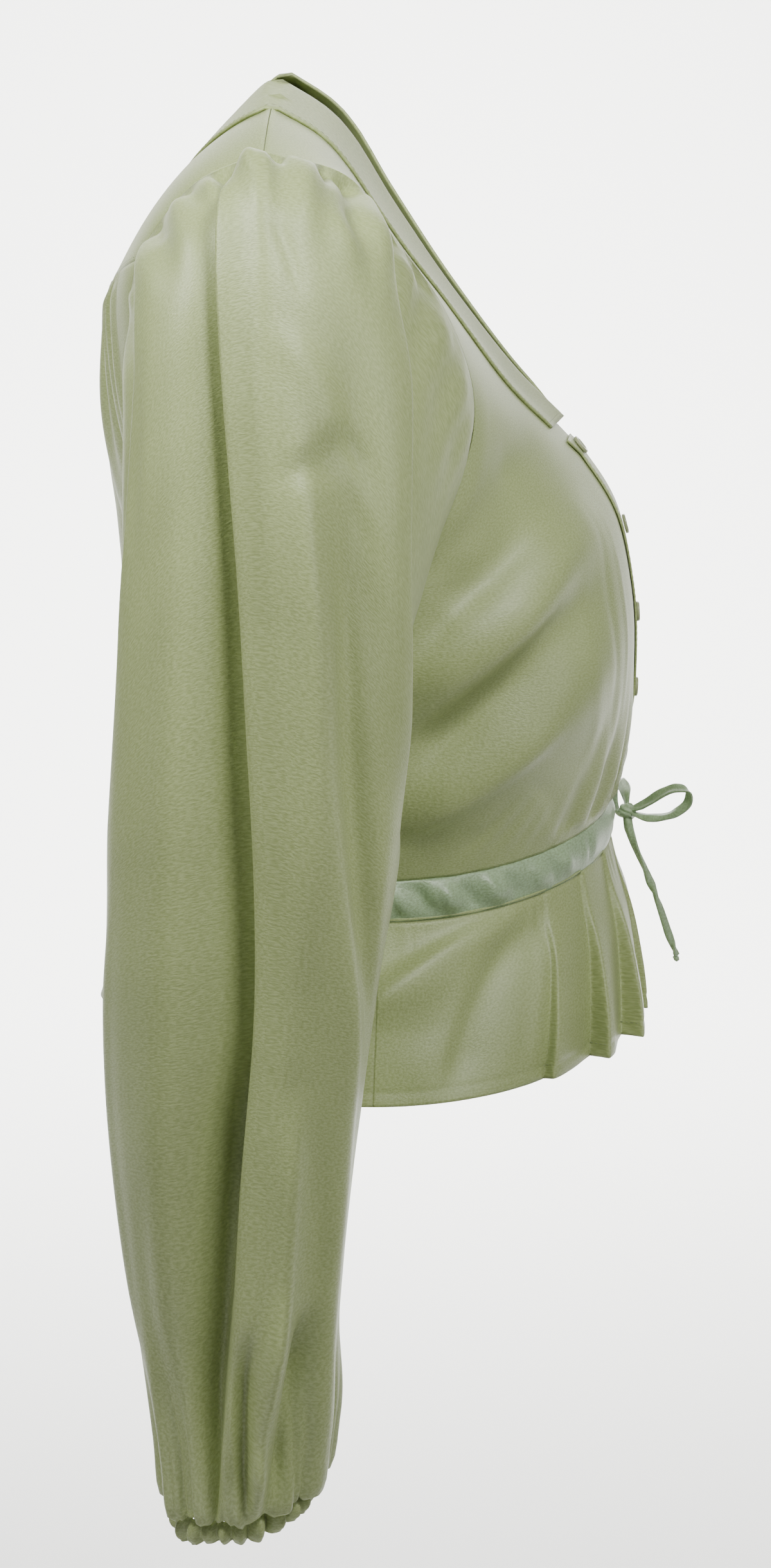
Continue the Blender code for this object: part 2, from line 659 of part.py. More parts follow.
# The collar's fall, from its front point (0) over the shoulder to the centre back (1): the direction in which
# it lies from the neckline, its width, and how far it stands off the panels.
COLLAR = Table(
    "at way_x way_y way_z width lift",
    (0.00, -0.42, 0.89, -0.18, 37, 2.6),
    (0.14, -0.22, 0.97, -0.05, 40, 2.6),
    (0.30, -0.08, 0.99, 0.02, 42, 3.0),
    (0.47, -0.05, 0.99, -0.05, 42, 5.0),
    (0.60, -0.10, 0.98, -0.06, 41, 6.6),
    (0.72, -0.50, 0.82, -0.16, 40, 6.0),
    (0.82, -0.80, 0.42, -0.45, 42, 4.0),
    (0.91, -0.84, 0.14, -0.55, 42, 3.4),
    (1.00, -0.84, 0.00, -0.60, 42, 3.4),
)
COLLAR_SHOULDER = 0.63
UPWARDS = Vector((0.0, 0.0, 0.5))


def neckline(half):
    """From the front neck point (0), past the shoulder seam, to the centre back (1)."""
    at = NECK_POINT + (1 - NECK_POINT) * np.clip(half / COLLAR_SHOULDER, 0, 1)
    behind = BACK_NECK.point("", np.clip((1 - half) / (1 - COLLAR_SHOULDER), 0, 1))
    return np.where((half < COLLAR_SHOULDER)[..., None], FRONT.point("edge_", at), behind)


def collar(surface):
    """The collar lies on the fronts and the yoke, with a roll along the neckline."""

    def place(u, v):
        half = 1 - np.abs(2 * u - 1)
        way = COLLAR.point("way_", half)
        way /= np.linalg.norm(way, axis=-1, keepdims=True)
        spot = neckline(half) + way * (1.0 + COLLAR.read("width", half) * v)[:, None]
        spot[..., 1] = np.maximum(spot[..., 1], 0.0) * np.where(u < 0.5, -1.0, 1.0)
        lift = COLLAR.read("lift", half) + COLLAR_ROLL * (1 - v) ** 2
        placed = []
        for point, up in zip(spot * MM, lift * MM):
            near, normal, _, _ = surface.find_nearest(Vector(point))
            away = normal if normal.dot(near - Vector(BODY_MIDDLE) * MM) > 0 else -normal
            placed.append(near + (away + UPWARDS).normalized() * up)
        return np.array(placed)

    return place


BAND_SHARE = BAND_WIDTH / 250.0
BAND_TOP = 0.585
BAND_SLACK = 0.8


def band_points(share, height, lift):
    """Points over the right front, lifted from it, and the direction in which they are lifted."""
    base = front_base(-1)
    spot = base(share, height)
    out = normals_of(base, share, height) * -1
    return (spot + out * (front_relief(spot) + lift)[:, None]) * MM, out


def front_band(u, v):
    """The buttonhole band on the right front: the panel's own points, moved out."""
    return band_points(0.006 + BAND_SHARE * u, 0.008 + BAND_TOP * v, CLOTH + SEAM_GAP + BAND_SLACK)[0]


def button(name, height, look):
    """A small disc with a rounded rim, on the band at the centre front."""
    lift = 1.5 * CLOTH + 2 * SEAM_GAP + BAND_SLACK + BUTTON_HEIGHT / 2
    spot, out = band_points(np.array([0.006 + BAND_SHARE / 2]), np.array([height]), lift)
    bm = bmesh.new()
    radius = BUTTON_DIAMETER / 2 * MM
    depth = BUTTON_HEIGHT * MM
    bmesh.ops.create_cone(bm, cap_ends=True, segments=12, radius1=radius, radius2=radius, depth=depth)
    rim = [e for e in bm.edges if abs(e.verts[0].co.z - e.verts[1].co.z) < WELD]
    bmesh.ops.bevel(bm, geom=rim, offset=0.5 * MM, segments=1, profile=0.5, affect="EDGES")
    mesh = bpy.data.meshes.new(name)
    bm.to_mesh(mesh)
    bm.free()
    made = add_object(name, mesh, look)
    made.rotation_mode = "QUATERNION"
    made.rotation_quaternion = Vector(out[0]).to_track_quat("Z", "Y")
    made.location = Vector(spot[0])
    return made


def knot(name, at, size, look, rounding):
    """A knot of the tie: a rounded block."""
    bm = bmesh.new()
    bmesh.ops.create_cube(bm, size=1.0)
    for vert in bm.verts:
        vert.co = [(c * side + middle) * MM for c, side, middle in zip(vert.co, size, at)]
    bmesh.ops.bevel(bm, geom=bm.edges[:], offset=rounding * MM, segments=2, profile=0.5, affect="EDGES")
    mesh = bpy.data.meshes.new(name)
    bm.to_mesh(mesh)
    bm.free()
    return add_object(name, mesh, look)


# The bow's two loops and two tails: points in millimetres, and the way in which the tie's width lies there.
TIE_ROUTES = {
    "tie_loop_near": Table(
        "at x y z wx wy wz",
        (0.00, 183.4, -3.0, -362.6, 0.3, 0.6, 0.8),
        (0.12, 188.5, -8, -358, 0.2, 0.8, 0.7),
        (0.26, 195, -13, -352.5, 0.1, 0.9, 0.6),
        (0.38, 201, -18, -349, -0.1, 1.0, 0.5),
        (0.47, 206.5, -21, -349.5, -0.4, 1.0, 0.2),
        (0.55, 206.5, -21, -355.5, -0.5, 1.0, 0.1),
        (0.65, 201, -18, -361.5, -0.3, 1.0, 0.3),
        (0.78, 194.5, -13, -365, 0.0, 1.0, 0.3),
        (0.90, 188.5, -9, -366.3, 0.1, 0.9, 0.3),
        (1.00, 183.5, -4.0, -367.5, 0.2, 0.9, 0.4),
    ),
    "tie_loop_far": Table(
        "at x y z wx wy wz",
        (0.00, 177.5, 5.1, -362, 0.3, 0.0, 1.0),
        (0.12, 177.5, 12, -359, 0.6, 0.0, 1.0),
        (0.26, 176.5, 22, -357, 0.9, 0.2, 1.0),
        (0.38, 174.5, 32, -358, 1.0, 0.3, 0.8),
        (0.47, 172.5, 39, -363, 1.0, 0.5, 0.2),
        (0.55, 172.5, 39, -369, 1.0, 0.5, -0.2),
        (0.65, 174.5, 31, -374, 1.0, 0.3, -0.8),
        (0.78, 178.5, 21, -373, 0.9, 0.2, -1.0),
        (0.90, 180.5, 12, -369, 0.5, 0.0, -1.0),
        (1.00, 180.5, 5.1, -366, 0.2, 0.0, -1.0),
    ),
    "tie_tail_near": Table(
        "at x y z wx wy wz",
        (0.00, 177.5, -1.5, -370.4, 0.9, 0.2, 0.2),
        (0.15, 181, -3, -381, 0.9, 0.5, 0.3),
        (0.35, 187.5, -5, -396, 0.3, 1.0, 0.1),
        (0.60, 194, -6, -413, 0.9, 0.1, 0.4),
        (0.85, 200.5, -5.5, -432, 0.4, 1.0, 0.2),
        (1.00, 204, -5, -441, 0.9, 0.4, 0.3),
    ),
    "tie_tail_far": Table(
        "at x y z wx wy wz",
        (0.00, 176.5, 1.5, -370.6, 0.9, -0.2, 0.2),
        (0.15, 180.5, 4, -382, 0.9, 0.5, 0.3),
        (0.35, 187.5, 5, -398, 0.3, 1.0, 0.1),
        (0.60, 194.5, 5.5, -415, 0.9, 0.1, 0.4),
        (0.85, 201, 5, -434, 0.4, 1.0, 0.2),
        (1.00, 204.5, 4.5, -443, 0.9, 0.4, 0.3),
    ),
}


def ribbon(route, width):
    """A flat tie along a route."""

    def place(u, v):
        way = route.point("w", v)
        way /= np.linalg.norm(way, axis=-1, keepdims=True)
        return (route.point("", v) + way * ((u - 0.5) * width)[:, None]) * MM

    return place


def build():
    for old in list(bpy.data.objects):
        bpy.data.objects.remove(old, do_unlink=True)
    bpy.context.scene.collection.children.link(bpy.data.collections.new("blouse"))
    satin = material("sage hammered satin", (0.40, 0.44, 0.28), 0.42, 0.3)
    bands = material("sage satin bands", (0.42, 0.47, 0.33), 0.38, 0.3)
    resin = material("dyed resin", (0.36, 0.41, 0.27), 0.25)

    seam = SEAM_GAP * 0.6
    for side, name in ((-1, "right"), (1, "left")):
        at_seams = trimmed(front(side), (0, seam), (2 * seam, 2 * seam))
        cloth(f"front_{name}", 20, sum(FRONT_ROWS), at_seams, satin)
        hung = trimmed(sleeve(side), (0, 0), (SLEEVE_GAP, 0))
        cloth(f"sleeve_{name}", SLEEVE_COLUMNS, 12, hung, satin, wrap=True)
        cloth(f"cuff_{name}", 3 * CUFF_GATHERS, 2, cuff(side), satin, wrap=True)
    cloth("back", 26, sum(BACK_ROWS), trimmed(back, (seam, seam), (2 * seam, 2 * seam)), satin)
    cloth("back_yoke", 22, 5, trimmed(yoke, (0, 0), (3 * seam, 2 * seam)), satin)
    cloth("front_band", 2, sum(FRONT_ROWS) - 5, front_band, satin)
    cloth("collar", 48, 3, collar(body_surface([front(-1), front(1), yoke])), satin)
    cloth("waist_casing", 3 * CASING_RIPPLES, 2, casing, bands)
    half = slit_angles(np.array([0.0]))[0]
    cloth("peplum_right", sum(SIDE_COLUMNS), 5, peplum_panel(half, 90), satin)
    cloth("peplum_back", BACK_COLUMNS, 5, peplum_panel(90, 270), satin)
    cloth("peplum_left", sum(SIDE_COLUMNS), 5, peplum_panel(270, 360 - half), satin)
    for i in range(BUTTON_COUNT):
        button(f"button_{i + 1}", BUTTON_TOP - BUTTON_STEP * i, resin)
    knot("tie_knot", KNOT_AT, KNOT, bands, 2.2)
    for name, route in TIE_ROUTES.items():
        if "loop" in name:
            cloth(name, 1, 26, ribbon(route, TIE_WIDTH), bands, thickness=TIE_CLOTH)
        else:
            cloth(name, 1, 14, ribbon(route, TAIL_WIDTH), bands, thickness=TIE_CLOTH)
            end = route.point("", np.array([1.0]))[0] - (0, 0, END_KNOT / 2 + 0.5)
            knot(name.replace("tail", "end_knot"), end, (END_KNOT, END_KNOT + 1, END_KNOT), bands, 0.8)


build()
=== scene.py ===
"""A satin blouse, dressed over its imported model.

The solids give the blouse its form. This file lays the cloth over them as thin shells with their creases,
and adds the seams, the stitching, the buttons, the bow, the materials and the stage.
"""

import math

import bmesh
import bpy
import numpy as np
from bpy.props import FloatProperty, FloatVectorProperty, IntProperty, PointerProperty
from mathutils import Matrix, Vector
from mathutils.bvhtree import BVHTree


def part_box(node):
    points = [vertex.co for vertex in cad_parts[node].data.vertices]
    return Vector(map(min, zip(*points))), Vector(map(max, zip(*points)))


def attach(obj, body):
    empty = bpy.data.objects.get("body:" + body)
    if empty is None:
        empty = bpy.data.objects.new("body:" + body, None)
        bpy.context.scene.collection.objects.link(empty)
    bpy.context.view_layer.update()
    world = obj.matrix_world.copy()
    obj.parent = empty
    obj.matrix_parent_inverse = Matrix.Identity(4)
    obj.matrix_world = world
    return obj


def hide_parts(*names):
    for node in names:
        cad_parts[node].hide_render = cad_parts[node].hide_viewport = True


bl_info = {
    "name": "Drawstring Blouse",
    "version": (1, 0, 0),
    "blender": (4, 5, 0),
    "location": "View3D > Sidebar > Blouse",
    "description": "Dresses a satin blouse: cloth, creases, seams, stitching, buttons, bow and stage",
    "category": "Object",
}

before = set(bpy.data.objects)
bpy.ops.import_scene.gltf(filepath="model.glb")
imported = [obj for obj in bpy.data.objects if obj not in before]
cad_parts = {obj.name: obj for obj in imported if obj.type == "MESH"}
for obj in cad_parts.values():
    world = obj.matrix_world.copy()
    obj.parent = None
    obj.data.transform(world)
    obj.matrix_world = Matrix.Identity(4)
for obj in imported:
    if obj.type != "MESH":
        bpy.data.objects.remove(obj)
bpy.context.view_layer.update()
MM = 0.001


def linear(hexcode):
    """The linear colour of an sRGB hex value."""
    parts = [int(hexcode[i : i + 2], 16) / 255 for i in (1, 3, 5)]
    return tuple(c / 12.92 if c <= 0.04045 else ((c + 0.055) / 1.055) ** 2.4 for c in parts)


def length(name, description, default):
    """A size in metres that a user can change."""
    return FloatProperty(name=name, description=description, default=default, unit="LENGTH", precision=4)


def colour(name, description, hexcode):
    """A colour that a user can change."""
    return FloatVectorProperty(
        name=name, description=description, subtype="COLOR", size=3, default=linear(hexcode)
    )


class BlouseSizes(bpy.types.PropertyGroup):
    """Sizes of the cloth's finer form."""

    cloth: length("Cloth", "Thickness of the satin shell", 0.0007)
    grain: length("Grain", "Distance between the dents of the hammered face", 0.001)
    stitch: length("Stitch", "Length of one stitch", 0.0024)
    thread: length("Thread", "Thickness of the sewing thread", 0.0004)
    hem: length("Hem", "Height of the hem's stitching over its edge", 0.007)
    waist_gathers: length("Waist gathers", "Distance between the fine gathers at the waist", 0.0085)
    floor_drop: length("Floor", "Depth of the floor under the shoulders", 1.4)
    button_holes: IntProperty(
        name="Button holes", description="Holes in each button", default=4, min=2, max=4
    )


class BlouseColours(bpy.types.PropertyGroup):
    """Colours of the satin, its thread and the buttons."""

    satin: colour("Satin", "The satin's face", "#abb77f")
    # Satin shade: the satin's colour in the dents of its face, darker there as painted shade.
    satin_painted_shade: colour("Satin shade", "The satin in the dents of its face", "#97a36b")
    bands: colour("Bands", "Casing and tie, cut on the other grain", "#a7bf98")
    # Bands' shade: the bands' colour in the dents of their face, darker there as painted shade.
    bands_painted_shade: colour("Bands' shade", "The bands in the dents of their face", "#91a680")
    thread: colour("Thread", "Sewing thread", "#979f79")
    resin: colour("Buttons", "Dyed resin", "#a0a77f")
    floor: colour("Floor", "Plain pale floor", "#cfcfcc")


def sizes():
    return bpy.context.scene.blouse_sizes


def colours():
    return bpy.context.scene.blouse_colours


# The solids' own sizes, in millimetres.
SOLID_WALL = 1.2
SEAM_GAP = 0.3
SLEEVE_GAP = 1.3
LAP = 12.0
UNDERLAP_DEPTH = 2.6
BAND_WIDTH = 25.0
COLLAR_ROLL = 2.4
CASING_HEIGHT = 21.0
CASING_PUFF = 3.0
CASING_RIPPLES = 24
CASING_SLIT = 3.0
PEPLUM_LENGTH = 90.0
PEPLUM_WAVES = 15
CUFF_HEIGHT = 12.0
CUFF_GATHERS = 22
HEAD_GATHERS = 24
BUTTON_COUNT = 5
BUTTON_TOP = 0.565
BUTTON_STEP = 0.125
BUTTON_DIAMETER = 10.0
BUTTON_HEIGHT = 1.8
TIE_WIDTH = 6.5
TAIL_WIDTH = 4.0
KNOT = (11.0, 9.0, 9.0)
KNOT_AT = (177.5, 0.0, -365.0)
END_KNOT = 3.0
BODY_MIDDLE = (30.0, 0.0, -200.0)
# Half the blouse's width at the waist, and about half its width half way up the side seams.
WAIST_REACH = 134.0
LAP_REACH = 152.0
# Points closer than this, in metres, are one point.
WELD = 0.00001


class Table:
    """Rows of named columns in millimetres, read between the rows on a smooth curve."""

    def __init__(self, names, *rows):
        values = np.array(rows, float)
        names = names.split()
        at = values[:, 0]
        self.fine = np.linspace(0.0, 1.0, 401)
        self.columns = {name: self.curve(at, values[:, i + 1]) for i, name in enumerate(names[1:])}

    def curve(self, at, heights):
        """Hermite pieces whose slope at each row is the slope between its neighbours."""
        slopes = np.gradient(heights, at)
        i = np.clip(np.searchsorted(at, self.fine, side="right") - 1, 0, len(at) - 2)
        step = at[i + 1] - at[i]
        f = (self.fine - at[i]) / step
        start = heights[i] * (1 + 2 * f) * (1 - f) ** 2 + heights[i + 1] * f * f * (3 - 2 * f)
        turn = slopes[i] * f * (1 - f) ** 2 - slopes[i + 1] * f * f * (1 - f)
        return start + turn * step

    def read(self, name, at):
        return np.interp(at, self.fine, self.columns[name])

    def point(self, prefix, at):
        return np.stack([self.read(prefix + axis, at) for axis in "xyz"], axis=-1)


# The armhole of the right side, from the shoulder seam forwards, down and round to it again.
ARMHOLE = Table(
    "at x y z",
    (0.00, 0, 181, -25),
    (0.08, 38, 175, -37),
    (0.14, 56, 166, -62),
    (0.20, 78, 156, -93),
    (0.27, 92, 150, -130),
    (0.34, 90, 150, -160),
    (0.42, 70, 155, -200),
    (0.50, 30, 160, -222),
    (0.60, -20, 157, -196),
    (0.68, -45, 158, -156),
    (0.77, -57, 163, -112),
    (0.86, -56, 170, -72),
    (0.93, -32, 178, -40),
    (1.00, 0, 181, -25),
)
UNDERARM = 0.50
YOKE_END = 0.86

# The side seam, from the waist (0) to the underarm (1).
SIDE_SEAM = Table(
    "at x y z",
    (0.00, 50, 134, -366),
    (0.25, 47, 143, -333),
    (0.50, 44, 151, -294),
    (0.78, 38, 156, -252),
    (1.00, 30, 160, -222),
)

# A front, from the waist seam (0) to the shoulder seam (1): its edge is the centre front, then the neckline.
# Pull and weight shape each row between that edge and the side seam or the armhole.
FRONT = Table(
    "at edge_x edge_y edge_z pull weight",
    (0.00, 167.5, 0, -355, 1.00, 0.71),
    (0.09, 175, 0, -323, 1.00, 0.80),
    (0.20, 178, 0, -286, 1.00, 1.00),
    (0.31, 176, 0, -244, 1.00, 1.12),
    (0.40, 168, 0, -207, 0.95, 1.08),
    (0.49, 152, 0, -181, 0.80, 1.00),
    (0.57, 139, 3, -166, 0.65, 0.90),
    (0.66, 114, 22, -140, 0.45, 0.85),
    (0.76, 84, 41, -102, 0.35, 0.80),
    (0.88, 51, 60, -57, 0.25, 0.80),
    (0.95, 25, 72, -20, 0.22, 0.80),
    (1.00, 2, 79, -5, 0.20, 0.80),
)
FRONT_UNDERARM = 0.40
NECK_POINT = 0.57

# Half of the back, from the waist seam (0) to the yoke seam (1). Its edge is the centre back.
BACK = Table(
    "at edge_x edge_y edge_z pull weight",
    (0.00, -56, 0, -361, 1.00, 0.71),
    (0.12, -64, 0, -324, 1.00, 0.78),
    (0.26, -72, 0, -282, 1.00, 0.85),
    (0.41, -77, 0, -240, 1.00, 0.85),
    (0.53, -80, 0, -205, 0.95, 0.85),
    (0.66, -83, 0, -176, 0.90, 0.85),
    (0.78, -84, 0, -150, 0.85, 0.80),
    (0.89, -83, 0, -122, 0.75, 0.80),
    (1.00, -81, 0, -95, 0.65, 0.80),
)
BACK_UNDERARM = 0.53

# The back neckline, from the centre back (0) to the shoulder seam (1).
BACK_NECK = Table(
    "at x y z",
    (0.00, -24, 0, -35),
    (0.36, -22, 30, -32),
    (0.72, -12, 60, -20),
    (1.00, 2, 79, -5),
)
NECK_SHARE = 0.45
YOKE_BULGE = 4.0
# The yoke's middle line, from the back neckline (0) to the yoke seam (1).
YOKE_MIDDLE = Table(
    "at x y z",
    (0.0, -24, 0, -35),
    (0.4, -49, 0, -61),
    (0.75, -70, 0, -81),
    (1.0, -81, 0, -95),
)

# Right sleeve, from the armhole (0) to the cuff seam (1): four points of each ring, on its outer, front,
# inner and back lines. Y counts outwards from the middle of the body.
SLEEVE = Table(
    "at outer_x outer_y outer_z front_x front_y front_z inner_x inner_y inner_z back_x back_y back_z",
    (0.00, 0, 181, -25, 92, 150, -125, 30, 160, -222, -57, 163, -113),
    (0.03, 0, 200, -25, 90, 166, -132, 28, 172, -226, -60, 181, -120),
    (0.08, 1, 225, -37, 82, 190, -150, 22, 186, -240, -62, 204, -140),
    (0.15, 3, 245, -66, 73, 211, -178, 14, 192, -264, -62, 221, -168),
    (0.24, 3, 259, -116, 66, 225, -213, 8, 194, -290, -62, 230, -205),
    (0.36, 1, 268, -190, 63, 231, -263, 3, 194, -320, -62, 233, -258),
    (0.50, -5, 273, -285, 60, 233, -325, -3, 194, -362, -66, 234, -325),
    (0.64, -11, 273, -375, 50, 232, -395, -9, 194, -417, -71, 233, -395),
    (0.78, -16, 270, -460, 39.5, 230, -470, -14, 194, -482, -69, 231, -470),
    (0.90, -16, 263, -558, 32, 227, -552, -15, 194, -556, -60, 228, -558),
    (0.96, -14, 255, -614, 29, 225, -602, -15, 196, -600, -52, 226, -613),
    (0.985, -13, 250, -639, 24, 224, -627, -15, 199, -621, -49, 225, -640),
    (1.00, -13, 244, -637, 16, 223, -625, -14, 203, -619, -43, 224, -638),
)


# Pleats of a sleeve, each a sharp edge that runs down it from the armhole to the cuff. The path is its angle
# in degrees at the head, at a third, at two thirds and at the cuff: 0 on the outer line, 90 on the front
# line. The cloth stands high on one side of it, towards the front where turn is 1, drops away on the other,
# and the edge laps over by some degrees. Columns is the number of grid columns since the pleat before.
PLEATS = (
    dict(path=(-145, -155, -145, -140), turn=1, lift=2, drop=5, width=24, lap=0, span=(0.15, 1.0), columns=4),
    dict(path=(-66, -100, -112, -112), turn=1, lift=2, drop=6, width=18, lap=3, span=(0.02, 0.62), columns=6),
    dict(path=(-42, -72, -90, -86), turn=1, lift=4, drop=9, width=22, lap=4, span=(0.01, 0.60), columns=5),
    dict(path=(-6, -9, 11, -22), turn=1, lift=5, drop=10, width=26, lap=5, span=(0.01, 1.1), columns=10),
    dict(path=(38, 74, 88, 90), turn=-1, lift=4, drop=12, width=28, lap=4, span=(0.02, 0.50), columns=12),
    dict(path=(150, 165, 170, 160), turn=-1, lift=2, drop=5, width=26, lap=0, span=(0.1, 0.95), columns=11),
)
LAST_COLUMNS = 4
FOLD_STEP = 3.2
# Soft folds of the sleeve, ridges where the height is above zero and troughs where it is below.
SOFT_FOLDS = (
    dict(path=(12, 20, 26, 26), width=9, height=4.0, span=(0.22, 0.66)),
    dict(path=(24, 42, 50, 52), width=13, height=-6.0, span=(0.12, 0.46)),
    dict(path=(-26, -30, -34, -40), width=16, height=3.0, span=(0.05, 0.95)),
    dict(path=(60, 60, 58, 40), width=13, height=3.5, span=(0.42, 0.98)),
    dict(path=(110, 118, 110, 100), width=18, height=-3.5, span=(0.20, 0.95)),
)

# Drag folds of the fronts and the peplum as seen from the side, from one end to the other, in x and z.
BODICE_FOLDS = (
    dict(start=(152, -196), end=(48, -272), width=17, height=7.0, bow=10),
    dict(start=(160, -262), end=(50, -336), width=18, height=6.0, bow=8),
    dict(start=(120, -160), end=(84, -226), width=15, height=-6.0, bow=-5),
    dict(start=(152, -226), end=(56, -304), width=16, height=-7.0, bow=8),
)
PEPLUM_FOLDS = (
    dict(start=(140, -372), end=(40, -428), width=12, height=-3.2, bow=-6),
    dict(start=(128, -380), end=(70, -440), width=11, height=2.6, bow=-4),
)


def smooth(low, high, x):
    """0 below low, 1 above high, and an even curve between them."""
    f = np.clip((x - low) / (high - low), 0.0, 1.0)
    return f * f * (3 - 2 * f)


SLOPE_STEP = 0.002


def normals_of(place, u, v, step=SLOPE_STEP):
    """Unit normals of a surface that place(u, v) gives, from the slopes along its two directions."""
    across = place(u + step, v) - place(u - step, v)
    along = place(u, np.minimum(v + SLOPE_STEP, 1.0)) - place(u, np.maximum(v - SLOPE_STEP, 0.0))
    n = np.cross(across, along)
    return n / np.maximum(np.linalg.norm(n, axis=-1, keepdims=True), 1e-12)


def along_path(path, at):
    """A fold's angle in degrees at a share of the length, on the cubic through its four angles."""
    first, second, third, fourth = path
    t = 3 * at
    bend, twist = third - 2 * second + first, fourth - 3 * third + 3 * second - first
    return first + t * (second - first) + t * (t - 1) / 2 * bend + t * (t - 1) * (t - 2) / 6 * twist


def turned(angle):
    """An angle in degrees, brought to within half a turn of 0."""
    return (angle + 180.0) % 360.0 - 180.0


def fading(span, at, run=0.05):
    """1 along a fold's span, running out to 0 at its two ends."""
    start, end = span
    return smooth(start, start + run, at) * (1 - smooth(end - 0.12, end, at))


def pleat(angle, at, fold, step=FOLD_STEP):
    """How high a pleat stands in millimetres, and how far its edge laps over, in degrees."""
    d = turned(angle - along_path(fold["path"], at)) * fold["turn"]
    high = 0.5 * (1 + np.tanh(d / (0.5 * step)))
    slope = np.exp(-np.abs(d) / fold["width"])
    height = (high * fold["lift"] - (1 - high) * fold["drop"]) * slope
    lap = -fold["lap"] * d / step * np.exp(0.5 - 0.5 * (d / step) ** 2) * fold["turn"]
    return height * fading(fold["span"], at), lap * fading(fold["span"], at, 0.16)


def soft_fold(angle, at, fold):
    """How high a soft fold of the sleeve stands in millimetres."""
    d = turned(angle - along_path(fold["path"], at))
    return fold["height"] * np.exp(-((d / fold["width"]) ** 2)) * fading(fold["span"], at, 0.14)


def sleeve_tube(angle, at, side):
    """The sleeve without its folds: a ring through four points at each height, from the armhole itself."""
    outer, front = SLEEVE.point("outer_", at), SLEEVE.point("front_", at)
    inner, back = SLEEVE.point("inner_", at), SLEEVE.point("back_", at)
    c, s = np.cos(np.radians(angle))[..., None], np.sin(np.radians(angle))[..., None]
    double = np.cos(np.radians(2 * angle))[..., None]

    def ring(outer, front, inner, back):
        middle = (outer + front + inner + back) / 4
        oval = (outer + inner - front - back) / 4
        return middle + (outer - inner) / 2 * c + (front - back) / 2 * s + oval * double

    head = np.zeros_like(at)
    first = ring(*(SLEEVE.point(name, head) for name in ("outer_", "front_", "inner_", "back_")))
    seam = ARMHOLE.point("", (angle / 360.0) % 1.0) - first
    placed = ring(outer, front, inner, back) + seam * (1 - smooth(0.0, 0.16, at))[..., None]
    return placed * (1, side, 1) * MM


def spread(u, counts, stops):
    """Angles for shares of a grid's width: each stop is reached after its count of columns."""
    column = u * sum(counts)
    angle, start = stops[0] + 0 * u, 0
    for count, low, high in zip(counts, stops[:-1], stops[1:]):
        angle = angle + (high - low) * np.clip((column - start) / count, 0, 1)
        start += count
    return angle


def conic_row(table, outer, across, at):
    """A row of a body panel: a conic from its edge to its outer side, whose height drops ever faster."""
    edge = table.point("edge_", at)
    pull, weight = table.read("pull", at)[..., None], table.read("weight", at)[..., None]
    middle = (edge + outer) / 2
    corner = np.stack([edge[..., 0], outer[..., 1], middle[..., 2]], axis=-1)
    control = middle + (corner - middle) * pull
    s = across[..., None]
    first, second, third = (1 - s) ** 2, 2 * s * (1 - s) * weight, s * s
    row = (first * edge + second * control + third * outer) / (first + second + third)
    share = (row[..., 1] - edge[..., 1]) / (outer[..., 1] - edge[..., 1])
    row[..., 2] = edge[..., 2] + (outer[..., 2] - edge[..., 2]) * share**2
    return row


def outer_side(at, underarm, armhole_end):
    """A body panel's outer side: the side seam up to the underarm, then the armhole to its top."""
    seam = SIDE_SEAM.point("", np.clip(at / underarm, 0, 1))
    share = np.clip((at - underarm) / (1 - underarm), 0, 1)
    armhole = ARMHOLE.point("", UNDERARM + (armhole_end - UNDERARM) * share)
    return np.where((at < underarm)[..., None], seam, armhole)


def front_row(across, at):
    """A front's row, from the centre front or the neckline (0) to the side seam or the armhole (1)."""
    return conic_row(FRONT, outer_side(at, FRONT_UNDERARM, 0.0), across, at)


def back_row(across, at):
    """The back's row, from the centre back (0) to the side seam or the armhole (1)."""
    return conic_row(BACK, outer_side(at, BACK_UNDERARM, YOKE_END), across, at)


def line_relief(x, z, fold):
    """The height of a fold that runs from one point to another, bowed sideways by its bow."""
    (x0, z0), (x1, z1) = fold["start"], fold["end"]
    long = math.hypot(x1 - x0, z1 - z0)
    ux, uz = (x1 - x0) / long, (z1 - z0) / long
    t = ((x - x0) * ux + (z - z0) * uz) / long
    d = (x - x0) * -uz + (z - z0) * ux - fold["bow"] * 4 * t * (1 - t)
    ends = smooth(-0.15, 0.25, t) * (1 - smooth(0.7, 1.15, t))
    return fold["height"] * np.exp(-((d / fold["width"]) ** 2)) * ends


FRONT_ROWS = (7, 8)
BACK_ROWS = (5, 7)


def front_base(side):
    """A front's surface in millimetres. Below the neckline it passes the middle by the lap, and the left one
    lies under the right one."""

    def place(u, v):
        v = spread(v, FRONT_ROWS, (0, FRONT_UNDERARM, 1))
        weight = FRONT.read("weight", v)
        lap = LAP / (2 * weight * LAP_REACH) * (1 - smooth(0.49, 0.54, v))
        across = u * (1 + lap) - lap
        row = front_row(np.abs(across), v)
        row[..., 1] = np.where(across < 0, 2 * FRONT.read("edge_y", v) - row[..., 1], row[..., 1])
        if side > 0:
            under = (1 - smooth(LAP + 2, LAP + 30, row[..., 1])) * (1 - smooth(0.56, 0.64, v))
            row[..., 0] -= UNDERLAP_DEPTH * under
        return row * (1, side, 1)

    return place


# Rings below the waist: how far each reaches at the front, side and back, and its drop there.
SKIRT = Table(
    "at front side_x side_y back front_z side_z back_z",
    (0.00, 167.5, 50, 134, -56, 0, -11, -6),
    (0.19, 168, 50, 135, -57, -20, -31, -26),
    (0.30, 171, 50, 140, -62, -33, -42, -38),
    (0.50, 177, 49, 152, -72, -54, -60, -58),
    (0.75, 181, 48, 165, -82, -82, -86, -84),
    (1.00, 183, 47, 174, -90, -106, -110, -110),
)
WAIST_Z = -355.0
CASING_SHARE = 0.19
# Half the casing's slit at the centre front, in degrees.
HALF_SLIT = math.degrees(CASING_SLIT / 2 / WAIST_REACH)


